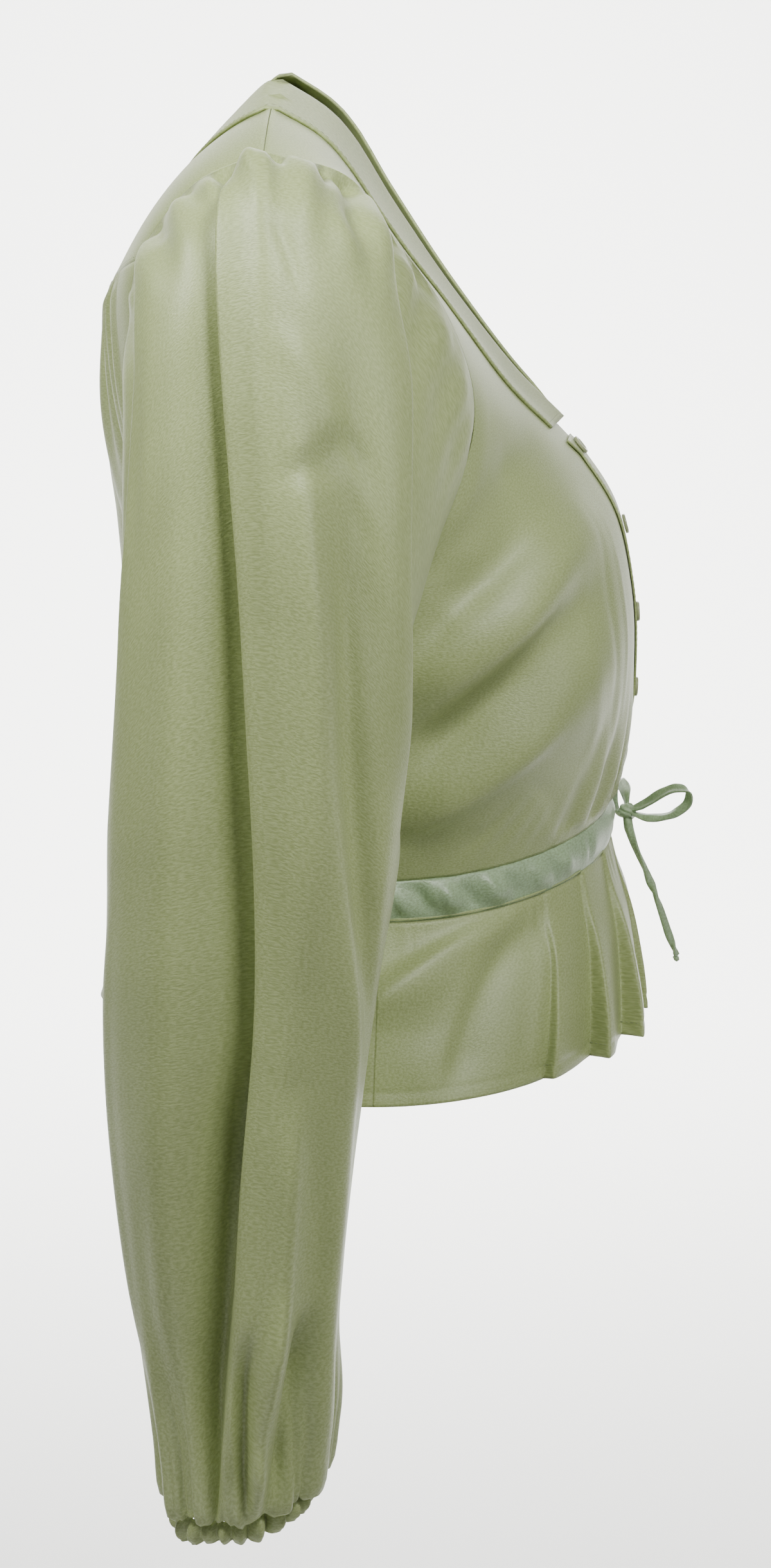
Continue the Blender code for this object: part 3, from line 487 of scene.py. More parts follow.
def skirt_ring(angle, at):
    """A ring below the waist. The angle runs from the centre front round the wearer's right side."""
    a = np.radians(angle)
    side_x = SKIRT.read("side_x", at)
    reach = np.where(np.cos(a) > 0, SKIRT.read("front", at) - side_x, side_x - SKIRT.read("back", at))
    x = side_x + reach * np.cos(a)
    y = -SKIRT.read("side_y", at) * np.sin(a)
    end_z = np.where(np.cos(a) > 0, SKIRT.read("front_z", at), SKIRT.read("back_z", at))
    z = WAIST_Z + end_z + (SKIRT.read("side_z", at) - end_z) * np.sin(a) ** 2
    return np.stack([x, y, z], axis=-1)


def slit_angles(u):
    """From one side of the slit at the centre front, round the body, to its other side."""
    return HALF_SLIT + (360 - 2 * HALF_SLIT) * u


# Pleats of the peplum beside the centre front, read as the sleeve pleats are.
PEPLUM_PLEATS = (
    dict(path=(5, 7, 9, 11), turn=1, lift=1, drop=5, width=6, lap=0.8, span=(0.0, 9.0)),
    dict(path=(17, 20, 23, 26), turn=1, lift=4, drop=12, width=8, lap=1.6, span=(0.0, 9.0)),
    dict(path=(32, 34, 36, 38), turn=1, lift=4, drop=12, width=9, lap=1.6, span=(0.0, 9.0)),
    dict(path=(46, 48, 50, 52), turn=1, lift=3, drop=6, width=9, lap=0.8, span=(0.0, 9.0)),
)


def trimmed(place, gap_u=(0.0, 0.0), gap_v=(0.0, 0.0)):
    """The same surface with each edge drawn in by a gap in millimetres, measured along it."""

    def shorter(u, v):
        long_u, long_v = [], []
        for row in (0.1, 0.5, 0.9):
            t = np.linspace(0, 1, 40)
            across, along = place(t, np.full(40, row)), place(np.full(40, row), t)
            long_u.append(np.linalg.norm(np.diff(across, axis=0), axis=1).sum())
            long_v.append(np.linalg.norm(np.diff(along, axis=0), axis=1).sum())
        low_u, high_u = gap_u[0] * MM / min(long_u), 1 - gap_u[1] * MM / min(long_u)
        low_v, high_v = gap_v[0] * MM / min(long_v), 1 - gap_v[1] * MM / min(long_v)
        return place(low_u + (high_u - low_u) * u, low_v + (high_v - low_v) * v)

    return shorter


def body_surface(places, columns=40, rows=60):
    """A search tree over panels, each a grid of points on its surface."""
    across, along = np.meshgrid(np.linspace(0, 1, columns + 1), np.linspace(0, 1, rows + 1))
    points, faces = [], []
    for place in places:
        first = len(points)
        points.extend(Vector(p) for p in place(across.ravel(), along.ravel()))
        for row in range(rows):
            for column in range(columns):
                corner = first + row * (columns + 1) + column
                faces.append((corner, corner + 1, corner + columns + 2, corner + columns + 1))
    return BVHTree.FromPolygons(points, faces)


# The collar's fall, from its front point (0) over the shoulder to the centre back (1): the direction in which
# it lies from the neckline, its width, and how far it stands off the panels.
COLLAR = Table(
    "at way_x way_y way_z width lift",
    (0.00, -0.42, 0.89, -0.18, 37, 2.6),
    (0.14, -0.22, 0.97, -0.05, 40, 2.6),
    (0.30, -0.08, 0.99, 0.02, 42, 3.0),
    (0.47, -0.05, 0.99, -0.05, 42, 5.0),
    (0.60, -0.10, 0.98, -0.06, 41, 6.6),
    (0.72, -0.50, 0.82, -0.16, 40, 6.0),
    (0.82, -0.80, 0.42, -0.45, 42, 4.0),
    (0.91, -0.84, 0.14, -0.55, 42, 3.4),
    (1.00, -0.84, 0.00, -0.60, 42, 3.4),
)
COLLAR_SHOULDER = 0.63
UPWARDS = Vector((0.0, 0.0, 0.5))


def neckline(half):
    """From the front neck point (0), past the shoulder seam, to the centre back (1)."""
    at = NECK_POINT + (1 - NECK_POINT) * np.clip(half / COLLAR_SHOULDER, 0, 1)
    behind = BACK_NECK.point("", np.clip((1 - half) / (1 - COLLAR_SHOULDER), 0, 1))
    return np.where((half < COLLAR_SHOULDER)[..., None], FRONT.point("edge_", at), behind)


def collar(surface):
    """The collar lies on the fronts and the yoke, with a roll along the neckline."""

    def place(u, v):
        half = 1 - np.abs(2 * u - 1)
        way = COLLAR.point("way_", half)
        way /= np.linalg.norm(way, axis=-1, keepdims=True)
        spot = neckline(half) + way * (1.0 + COLLAR.read("width", half) * v)[:, None]
        spot[..., 1] = np.maximum(spot[..., 1], 0.0) * np.where(u < 0.5, -1.0, 1.0)
        lift = np.maximum(COLLAR.read("lift", half) * (1 - 0.8 * v), 1.3) + COLLAR_ROLL * (1 - v) ** 2
        placed = []
        for point, up in zip(spot * MM, lift * MM):
            near, normal, _, _ = surface.find_nearest(Vector(point))
            away = normal if normal.dot(near - Vector(BODY_MIDDLE) * MM) > 0 else -normal
            placed.append(near + (away + UPWARDS).normalized() * up)
        return np.array(placed)

    return place


# The bow's two loops and two tails: points in millimetres, and the way in which the tie's width lies there.
TIE_ROUTES = {
    "tie_loop_near": Table(
        "at x y z wx wy wz",
        (0.00, 183.4, -3.0, -362.6, 0.3, 0.6, 0.8),
        (0.12, 188.5, -8, -358, 0.2, 0.8, 0.7),
        (0.26, 195, -13, -352.5, 0.1, 0.9, 0.6),
        (0.38, 201, -18, -349, -0.1, 1.0, 0.5),
        (0.47, 206.5, -21, -349.5, -0.4, 1.0, 0.2),
        (0.55, 206.5, -21, -355.5, -0.5, 1.0, 0.1),
        (0.65, 201, -18, -361.5, -0.3, 1.0, 0.3),
        (0.78, 194.5, -13, -365, 0.0, 1.0, 0.3),
        (0.90, 188.5, -9, -366.3, 0.1, 0.9, 0.3),
        (1.00, 183.5, -4.0, -367.5, 0.2, 0.9, 0.4),
    ),
    "tie_loop_far": Table(
        "at x y z wx wy wz",
        (0.00, 177.5, 5.1, -362, 0.3, 0.0, 1.0),
        (0.12, 177.5, 12, -359, 0.6, 0.0, 1.0),
        (0.26, 176.5, 22, -357, 0.9, 0.2, 1.0),
        (0.38, 174.5, 32, -358, 1.0, 0.3, 0.8),
        (0.47, 172.5, 39, -363, 1.0, 0.5, 0.2),
        (0.55, 172.5, 39, -369, 1.0, 0.5, -0.2),
        (0.65, 174.5, 31, -374, 1.0, 0.3, -0.8),
        (0.78, 178.5, 21, -373, 0.9, 0.2, -1.0),
        (0.90, 180.5, 12, -369, 0.5, 0.0, -1.0),
        (1.00, 180.5, 5.1, -366, 0.2, 0.0, -1.0),
    ),
    "tie_tail_near": Table(
        "at x y z wx wy wz",
        (0.00, 177.5, -1.5, -370.4, 0.9, 0.2, 0.2),
        (0.15, 181, -3, -381, 0.9, 0.5, 0.3),
        (0.35, 187.5, -5, -396, 0.3, 1.0, 0.1),
        (0.60, 194, -6, -413, 0.9, 0.1, 0.4),
        (0.85, 200.5, -5.5, -432, 0.4, 1.0, 0.2),
        (1.00, 204, -5, -441, 0.9, 0.4, 0.3),
    ),
    "tie_tail_far": Table(
        "at x y z wx wy wz",
        (0.00, 176.5, 1.5, -370.6, 0.9, -0.2, 0.2),
        (0.15, 180.5, 4, -382, 0.9, 0.5, 0.3),
        (0.35, 187.5, 5, -398, 0.3, 1.0, 0.1),
        (0.60, 194.5, 5.5, -415, 0.9, 0.1, 0.4),
        (0.85, 201, 5, -434, 0.4, 1.0, 0.2),
        (1.00, 204.5, 4.5, -443, 0.9, 0.4, 0.3),
    ),
}


# Creases that the solids leave out, placed one by one. Each row gives a width, a height and a lean, then the
# points of a path whose second figure only grows. A crease is a soft ridge, or a trough where its height is
# below zero.
# Where its lean is above zero, the side with the greater first figure is the steeper one.
# A sleeve's paths are in degrees round it and in millimetres down it.
SLEEVE_CREASES = (
    (12, 7.5, 0.5, (8, 140), (14, 220), (20, 258), (26, 310), (37, 366), (50, 428), (58, 490)),
    (8, -4.6, 0.2, (28, 190), (35, 240), (41, 300), (52, 364), (68, 440)),
    (12, -10.0, 0.5, (-10, 50), (-14, 156), (-10, 224), (-3, 300), (7, 400), (8, 470), (2, 540), (-12, 590)),
    (13, 3.6, 0.0, (-30, 130), (-30, 240), (-26, 400), (-26, 560)),
    (6, -3.2, -0.3, (38, 152), (24, 176), (9, 196)),
    (9, 2.2, 0.0, (8, 128), (26, 158), (46, 190)),
    (7.0, 6.0, 0.1, (28, 470), (28, 530), (24, 572), (18, 600)),
    (5.0, 7.0, 0.0, (26, 550), (18, 586), (13, 608), (12, 640)),
    (5.5, -9.0, 0.45, (9, 565), (5, 600), (4, 640)),
    (7.0, -11.0, -0.4, (42, 560), (31, 596), (21, 636)),
    (8, -3.0, 0.2, (46, 490), (47, 550), (42, 592), (36, 622)),
    (9, 2.4, 0.0, (62, 480), (62, 560), (54, 622)),
    (12, -10.0, 0.4, (4, 450), (-2, 520), (-10, 575), (-22, 615)),
    (9, 1.2, 0.0, (-19, 520), (-26, 580), (-36, 622)),
    (9, -1.2, 0.0, (-46, 500), (-52, 560), (-54, 620)),
    (6, 6.0, 0.0, (12, 604), (13, 642)),
    (3, -1.3, 0.0, (2, 70), (7, 90), (12, 112)),
    (6, -2.2, 0.2, (-54, 60), (-58, 130), (-62, 200)),
    (9, -2.2, 0.2, (86, 210), (92, 330), (88, 460)),
    (11, 2.4, 0.2, (118, 120), (108, 260), (106, 420)),
    (9, -2.4, -0.2, (140, 250), (132, 400), (122, 560)),
    (11, 2.2, 0.2, (-134, 150), (-124, 300), (-126, 480)),
    (8, 2.0, -0.3, (-96, 120), (-104, 260), (-98, 420)),
    (8, 2.0, 0.2, (-78, 340), (-84, 470), (-76, 600)),
)
# The folds that the head's gathers make, from the armhole down.
HEAD_CREASES = (
    (3.5, -3.0, 0.2, (-40, -8), (-38, 40)),
    (3.0, -2.4, 0.0, (-27, -8), (-25, 34)),
    (4.5, -8.0, -0.3, (-14, -16), (-13, 46)),
    (4.0, 3.6, 0.0, (-5, -6), (-4, 40)),
    (3.6, -8.0, 0.3, (3, -16), (4, 30)),
    (3.0, 1.8, 0.0, (8, -6), (9, 30)),
    (1.8, -3.2, 0.0, (12, -8), (12, 24)),
    (2.2, -3.6, 0.0, (19, -8), (20, 32)),
    (5.5, -8.0, 0.3, (28, -16), (31, 60)),
    (4.0, 2.4, 0.0, (37, -6), (41, 50)),
    (3.0, -3.0, 0.0, (47, -8), (51, 40)),
    (4.0, -2.6, 0.0, (62, -8), (65, 34)),
    (4.0, -3.0, 0.0, (-55, -8), (-58, 38)),
    (4.0, -2.2, 0.0, (-70, -8), (-74, 30)),
)
# A front's paths are in y and z; the fine ones rise from the waist to the bust beside the front edge.
FRONT_CREASES = (
    (3.5, 0.6, 0.3, (50, -352), (60, -318), (70, -262), (62, -205)),
    (4.0, -0.7, 0.0, (66, -350), (78, -312), (90, -258), (80, -200)),
    (4.5, 0.6, 0.2, (80, -352), (96, -310), (112, -262), (104, -215)),
    (3.0, -0.6, 0.0, (30, -352), (38, -322), (44, -280)),
    (2.6, 0.5, 0.0, (16, -352), (20, -326), (21, -296)),
    (4.0, -0.7, 0.3, (98, -350), (112, -330), (124, -318)),
)
# The bodice's drag folds run on into these, whose paths are in z and x.
DRAG_CREASES = (
    (9, -3.8, -0.2, (-253, 62), (-236, 80), (-218, 101), (-196, 126)),
    (8, 4.4, -0.4, (-291, 60), (-270, 84), (-250, 109), (-230, 136)),
    (9, -3.2, -0.2, (-314, 60), (-294, 84), (-276, 104), (-260, 126)),
    (8, 3.8, -0.4, (-338, 62), (-322, 88), (-308, 108), (-290, 134)),
    (9, 2.2, -0.3, (-160, 100), (-186, 84), (-206, 66)),
)
# The back's paths are in y and z.
BACK_CREASES = (
    (9, 1.8, 0.3, (-36, -326), (-80, -290), (-118, -246)),
    (9, -1.8, 0.3, (-66, -300), (-104, -262), (-132, -222)),
    (10, 1.9, -0.3, (46, -330), (86, -284), (112, -238)),
    (8, -1.6, -0.2, (78, -332), (108, -300), (130, -268)),
    (10, 1.2, 0.2, (-26, -262), (-16, -190), (-12, -130)),
    (9, -1.2, 0.2, (30, -244), (34, -190), (40, -138)),
)
# The casing's and the peplum's paths are in degrees from the front, and down them in the same measure.
CASING_CREASES = (
    (1.2, -1.6, 0.0, (31, 0), (29, 9)),
    (1.6, 2.2, 0.3, (42, 1), (38, 9)),
    (1.4, -2.4, 0.0, (47, 0), (43, 9)),
    (1.6, 2.2, 0.3, (52, 0), (49, 9)),
    (1.7, -2.8, 0.3, (60, 0), (55, 9)),
    (1.5, 2.8, -0.3, (65, 0), (61, 9)),
    (1.3, -2.0, 0.0, (71, 1), (66, 9)),
    (1.6, 2.6, 0.2, (76, 0), (72, 9)),
    (1.7, -2.8, 0.0, (82, 0), (77, 9)),
    (1.6, 2.6, 0.3, (88, 0), (83, 9)),
    (1.6, -2.0, 0.0, (95, 0), (92, 9)),
)
PEPLUM_CREASES = (
    (4.0, 4.4, 0.3, (62, 1), (74, 7), (84, 13), (95, 22)),
    (5.0, -5.6, 0.3, (52, 2), (60, 9), (68, 21), (74, 38)),
    (4.0, 2.0, 0.3, (44, 2), (50, 16), (55, 40)),
    (6.0, -1.8, 0.0, (78, 16), (84, 28), (86, 42)),
)


def creases(across, along, rows):
    """The height of a table of creases, highest in the middle of each path."""
    height = 0 * across
    for width, high, lean, *points in rows:
        sides, runs = np.array(points, float).T
        long = runs[-1] - runs[0]
        path = Table("at side", *zip((runs - runs[0]) / long, sides))
        t = (along - runs[0]) / long
        slope = (path.read("side", t + 0.02) - path.read("side", t - 0.02)) / (0.04 * long)
        d = (across - path.read("side", t)) / np.hypot(1, slope)
        spread_out = width * (1 - lean * np.tanh(d / width))
        ridge = high * np.exp(-((d / spread_out) ** 2))
        height = height + ridge * smooth(-0.1, 0.3, t) * (1 - smooth(0.7, 1.1, t))
    return height


def uneven(x, pitch, start=0.0):
    """A wave of gathers whose spacing and height wander: from -1 to 1."""
    turn = 2 * math.pi * x / pitch
    wander = 1.3 * np.sin(turn / 3.7 + start) + 0.8 * np.sin(turn / 2.3 + 2 * start)
    return np.cos(turn + wander) * (0.75 + 0.25 * np.sin(turn / 4.1 + 3 * start))


# How far the sleeve hangs from its armhole to its cuff, in millimetres.
SLEEVE_DROP = 640.0
# The width of a pleat's edge in degrees, the grid's columns on each edge, and its columns between two edges
# for each one that the pleat asks for.
FOLD_EDGE = 2.4
EDGE_COLUMNS = 14
BETWEEN_COLUMNS = 3


def sleeve_relief(angle, at):
    """How far the sleeve's cloth stands out from its plain tube in millimetres, and its lap in degrees."""
    folded = [pleat(angle, at, fold, FOLD_EDGE) for fold in PLEATS]
    height = sum(part[0] for part in folded) + sum(soft_fold(angle, at, fold) for fold in SOFT_FOLDS)
    lap = sum(part[1] for part in folded)
    outer = np.exp(-((turned(angle) / 95.0) ** 4))
    head = np.cos(np.radians(HEAD_GATHERS * angle + 50 * np.sin(np.radians(2 * angle + 40))))
    head = 1.6 * head * outer * smooth(0.0, 0.03, at) * (1 - smooth(0.05, 0.15, at))
    low = np.cos(np.radians(CUFF_GATHERS / 2 * angle + 40 * np.sin(np.radians(2 * angle))))
    low = 2.6 * low * smooth(0.86, 0.97, at) * (1 - 0.6 * smooth(0.985, 1.0, at))
    fine = 1.1 * uneven(angle, 11.0, 0.6) * smooth(0.90, 0.975, at) * (1 - 0.5 * smooth(0.985, 1.0, at))
    drop = at * SLEEVE_DROP
    height = height * (1 - smooth(0.93, 1.0, at) * 0.8)
    height = height + creases(turned(angle), drop, SLEEVE_CREASES) * (1 - smooth(0.955, 0.99, at))
    height = height + creases(turned(angle), drop, HEAD_CREASES) * smooth(0.0, 4.5, drop)
    return height + head + low + fine, lap * (1 - smooth(0.78, 0.93, at))


def sleeve_angle(u, at, lean):
    """From the inner line round to it again, with close columns on each pleat's edge."""
    counts, stops = [], [-180.0]
    for fold in PLEATS:
        edge = along_path(fold["path"], at) + lean
        counts += [BETWEEN_COLUMNS * fold["columns"], EDGE_COLUMNS]
        stops += [edge - 2 * FOLD_EDGE, edge + 2 * FOLD_EDGE]
    return spread(u, counts + [BETWEEN_COLUMNS * LAST_COLUMNS], stops + [180.0])


BETWEEN = BETWEEN_COLUMNS * (sum(fold["columns"] for fold in PLEATS) + LAST_COLUMNS)
SLEEVE_COLUMNS = BETWEEN + EDGE_COLUMNS * len(PLEATS)
SLEEVE_ROWS = 170


def sleeve(side):
    """A sleeve with its folds. The left one's folds are turned a little against the right one's."""
    lean = 0.0 if side < 0 else 5.0

    def place(u, v):
        angle = sleeve_angle(u, v, lean)
        height, lap = sleeve_relief(angle - lean, v)

        def tube(at_angle, at):
            return sleeve_tube(at_angle, at, side)

        out = normals_of(tube, angle + lap, v, 0.7) * side
        return tube(angle + lap, v) + out * (height * MM)[:, None]

    return place


def cuff(side):
    """The elastic casing at the wrist: tight gathers that swell between its two seams."""

    def place(u, v):
        angle = 360.0 * u
        top = sleeve_tube(angle, np.ones_like(u), side)
        middle = sleeve_tube(np.array([0.0, 90.0, 180.0, 270.0]), np.ones(4), side).mean(axis=0)
        out = top - middle
        out /= np.linalg.norm(out, axis=-1, keepdims=True)
        wander = 62 * np.sin(np.radians(2 * angle + 20)) + 38 * np.sin(np.radians(5 * angle + 70))
        wave = np.cos(np.radians(CUFF_GATHERS * angle + wander))
        wave = wave * (0.8 + 0.25 * np.sin(np.radians(3 * angle)))
        fine = np.cos(np.radians(CUFF_GATHERS * 2 * angle + 70 * np.sin(np.radians(7 * angle))))
        # Each gather is a round lobe with a sharp furrow beside it.
        wave = 2.0 * np.abs(np.cos(0.5 * np.arccos(np.clip(wave, -1.0, 1.0)))) - 1.1
        swell = 2.2 * np.sin(math.pi * v) + wave * (2.2 + 1.2 * np.sin(math.pi * v)) + 0.35 * fine
        swell = swell - 0.5 * np.exp(-(((v - 0.1) / 0.05) ** 2)) - 0.5 * np.exp(-(((v - 0.9) / 0.05) ** 2))
        uneven_edge = 1.2 * np.sin(np.radians(5 * angle + 30)) + 0.4 * wave
        drop = SEAM_GAP + SOLID_WALL / 2 + 1.0 + CUFF_HEIGHT * v + uneven_edge * v
        return top + out * (swell * MM)[:, None] - np.array([0, 0, 1]) * (drop * MM)[:, None]

    return place


def front_relief(base):
    """Drag folds from the bust to the side, and gathers at the waist that run out upwards."""
    x, y, z = base[..., 0], np.abs(base[..., 1]), base[..., 2]
    height = sum(line_relief(x, z, fold) for fold in BODICE_FOLDS)
    height = height * smooth(45, 95, y) * smooth(-352, -335, z)
    height = height * (1 - smooth(-235, -205, z) * smooth(120, 150, y))
    gathers = 2.2 * np.cos(y / 27 * 2 * math.pi + 0.4) * smooth(4, 16, y) * (1 - smooth(85, 105, y))
    height = height + gathers * (1 - smooth(-340, -265, z)) ** 1.5 * smooth(-355, -349, z)
    fine = 0.45 * uneven(y + 0.10 * (z + 355), sizes().waist_gathers / MM, 1.1) * smooth(3, 12, y)
    reach = -342 + 9 * np.sin(y / 17.0)
    fine = fine * (1 - smooth(reach - 10, reach + 14, z)) * (0.35 + 0.65 * smooth(-355, -349, z))
    drag = creases(z, x, DRAG_CREASES) * smooth(60, 100, y)
    return height + fine + (drag + creases(y, z, FRONT_CREASES)) * smooth(-356, -346, z)


def front(side):
    """A front with its folds and gathers."""
    base = front_base(side)

    def place(u, v):
        at = base(u, v)
        return (at + normals_of(base, u, v) * side * front_relief(at)[:, None]) * MM

    return place


def back_base(u, v):
    """The whole back, from the wearer's right side seam (0) to the left one (1)."""
    v = spread(v, BACK_ROWS, (0, BACK_UNDERARM, 1))
    side = np.where(u < 0.5, -1.0, 1.0)
    row = back_row(np.abs(2 * u - 1), v)
    row[..., 1] *= side
    return row


def back(u, v):
    """The back, gathered under the yoke and at the waist, with a few drag folds."""
    at = back_base(u, v)
    y, z = at[..., 1], at[..., 2]
    half = np.abs(y)
    gathers = 2.4 * np.cos(half / 18 * 2 * math.pi) * smooth(30, 60, half) * (1 - smooth(130, 145, half))
    gathers = gathers * smooth(0.50, 0.90, v) * (1 - smooth(0.95, 1.0, v))
    waist = 1.6 * np.cos(half / 18 * 2 * math.pi) * (1 - smooth(105, 130, half))
    waist = waist * (1 - smooth(0.06, 0.28, v)) * smooth(0, 0.04, v)
    soft = 2.5 * np.cos(half / 60 * 2 * math.pi + 1) * smooth(0.08, 0.3, v) * (1 - smooth(0.7, 0.95, v))
    soft = soft * (1 - smooth(110, 140, half))
    reach = 0.22 + 0.05 * np.sin(y / 15)
    fine = 0.7 * uneven(y, sizes().waist_gathers / MM, 0.4) * (1 - smooth(0.04, reach, v))
    upper = 0.5 * uneven(y, 8.0, 2.4) * smooth(0.80, 0.97, v) * smooth(30, 55, half)
    fine = fine + upper * (1 - smooth(135, 148, half))
    drag = creases(y, z, BACK_CREASES)
    height = gathers + waist + soft + fine + drag
    return (at + normals_of(back_base, u, v) * height[:, None]) * MM


def yoke_front_edge(half):
    """The back neckline from the centre back, then the shoulder seam to the armhole."""
    neck = BACK_NECK.point("", np.clip(half / NECK_SHARE, 0, 1))
    seam = front_row(np.clip((half - NECK_SHARE) / (1 - NECK_SHARE), 0, 1), np.ones_like(half))
    return np.where((half < NECK_SHARE)[..., None], neck, seam)


def yoke(u, v):
    """The yoke as a patch between its four edges, from the right armhole (0) to the left one (1)."""
    half = np.abs(2 * u - 1)
    zero, one = np.zeros_like(u), np.ones_like(u)
    h, t = half[..., None], v[..., None]
    armhole = ARMHOLE.point("", 1 + (YOKE_END - 1) * v)
    patch = (1 - t) * yoke_front_edge(half) + t * back_row(half, one)
    patch += (1 - h) * YOKE_MIDDLE.point("", v) + h * armhole
    patch -= (1 - h) * ((1 - t) * yoke_front_edge(zero) + t * back_row(zero, one))
    patch -= h * ((1 - t) * yoke_front_edge(one) + t * back_row(one, one))
    bulge = YOKE_BULGE * np.sin(math.pi * v**0.8) * smooth(0.1, 0.5, half) * (1 - half**6)
    patch[..., 0] -= 0.6 * bulge
    patch[..., 2] += bulge
    patch[..., 1] *= np.where(u < 0.5, -1.0, 1.0)
    return patch * MM


# Length of one degree round the waist, in millimetres.
MM_A_DEGREE = 2.34


def casing(u, v):
    """The drawstring's casing, puffed between its seams and rippled by the string."""

    def ring(u, v):
        return skirt_ring(slit_angles(u), CASING_SHARE * v)

    angle = slit_angles(u)
    front_share = 0.5 + 0.5 * np.cos(np.radians(angle))
    ripple = np.cos(np.radians(angle * CASING_RIPPLES + 30 * np.sin(np.radians(3 * angle))))
    swell = np.sin(math.pi * v)
    height = CASING_PUFF * swell + ripple * (2.4 - 2.0 * front_share**2) * swell
    down = v * CASING_HEIGHT / MM_A_DEGREE
    height = height + 0.4 * uneven(angle, 6.0, 1.7) * swell * (1 - front_share**4)
    height = height + creases(np.abs(turned(angle)), down, CASING_CREASES) * swell
    inset = 0.5 * SEAM_GAP / CASING_HEIGHT
    v = inset + (1 - 2 * inset) * v
    return (ring(u, v) + normals_of(ring, u, v) * height[:, None]) * MM


# The width of a peplum pleat's edge, in degrees.
PEPLUM_EDGE = 0.9


def peplum_relief(angle, at, base):
    """Waves at the back that grow towards the hem, pleats near the front and long folds at the sides."""
    grow = smooth(CASING_SHARE, 1.0, at)
    mirrored = np.abs(turned(angle))
    wander = 35 * np.sin(np.radians(2 * angle))
    waves = 5.5 * np.cos(np.radians(PEPLUM_WAVES * angle + wander)) * grow
    height, lap = waves * smooth(88, 120, mirrored), 0 * angle
    for fold in PEPLUM_PLEATS:
        up, over = pleat(mirrored, at, fold, PEPLUM_EDGE)
        height = height + up * (0.10 + 0.90 * grow)
        lap = lap + over * grow
    for fold in PEPLUM_FOLDS:
        reach = smooth(60, 110, np.abs(base[..., 1]))
        height = height + line_relief(base[..., 0], base[..., 2], fold) * reach * grow
    down = (at - CASING_SHARE) / (1 - CASING_SHARE) * PEPLUM_LENGTH / MM_A_DEGREE
    height = height - creases(mirrored, down, PEPLUM_CREASES) * smooth(0.0, 3.0, down)
    # The hem's stitching pulls the cloth in along its line.
    hem = (PEPLUM_LENGTH - sizes().hem / MM) / MM_A_DEGREE
    height = height + 0.45 * np.exp(-(((down - hem) / 0.45) ** 2))
    end = 0.34 + 0.1 * np.sin(np.radians(9 * angle))
    fine = 0.35 * uneven(angle, 4.6, 0.9) * (1 - smooth(0.12, end, at))
    return height + fine * smooth(CASING_SHARE, CASING_SHARE + 0.04, at), lap * np.sign(turned(angle))


# How far the peplum's top goes up inside the casing, in millimetres.
TUCK = 1.5
# The peplum's panels, each from one angle to another.
PANELS = (("right", HALF_SLIT, 90), ("back", 90, 270), ("left", 270, 360 - HALF_SLIT))


def peplum_panel(start, end):
    """A panel of the peplum between two angles. Its top is tucked under the casing."""

    def place(u, v):
        at = CASING_SHARE + (1 - CASING_SHARE) * (v - (1 - v) * TUCK / PEPLUM_LENGTH)
        angle = start + (end - start) * u
        height, lap = peplum_relief(angle, at, skirt_ring(angle, at))

        def ring(at_angle, at_height):
            return skirt_ring(at_angle, CASING_SHARE + (1 - CASING_SHARE) * at_height)

        height = height + 1.1 * (1 - smooth(0.0, 2.0 * TUCK / PEPLUM_LENGTH, v))
        v = v - (1 - v) * TUCK / PEPLUM_LENGTH
        return (ring(angle + lap, v) - normals_of(ring, angle + lap, v, 0.5) * height[:, None]) * MM

    return place


# The band's width and place as shares of the right front's grid.
BAND_SHARE = BAND_WIDTH / 250.0
BAND_EDGE = 0.006
BAND_FOOT = 0.008
BAND_TOP = 0.585
# How far the band's middle lies over the front's, and how thick its doubled cloth is.
BAND_LIFT = 1.3
BAND_CLOTH = 1.0


def band_points(share, height, lift):
    """Points over the right front, lifted from it, and the direction in which they are lifted."""
    base = front_base(-1)
    spot = base(share, height)
    out = normals_of(base, share, height) * -1
    return (spot + out * (front_relief(spot) + lift)[:, None]) * MM, out


def front_band(u, v):
    """The buttonhole band on the right front: the panel's own points, moved out."""
    return band_points(BAND_EDGE + BAND_SHARE * u, BAND_FOOT + BAND_TOP * v, BAND_LIFT)[0]


def add(tree, kind, settings=None, links=None):
    """Adds a node, gives it its settings, and links its inputs to other nodes' outputs."""
    node = tree.nodes.new(kind)
    for name, value in (settings or {}).items():
        if name in node.inputs:
            node.inputs[name].default_value = value
        else:
            setattr(node, name, value)
    for name, source in (links or {}).items():
        tree.links.new(source, node.inputs[name])
    return node


def shaded(name):
    """A new material, its nodes and its shader."""
    made = bpy.data.materials.new(name)
    made.use_nodes = True
    return made, made.node_tree, made.node_tree.nodes["Principled BSDF"]


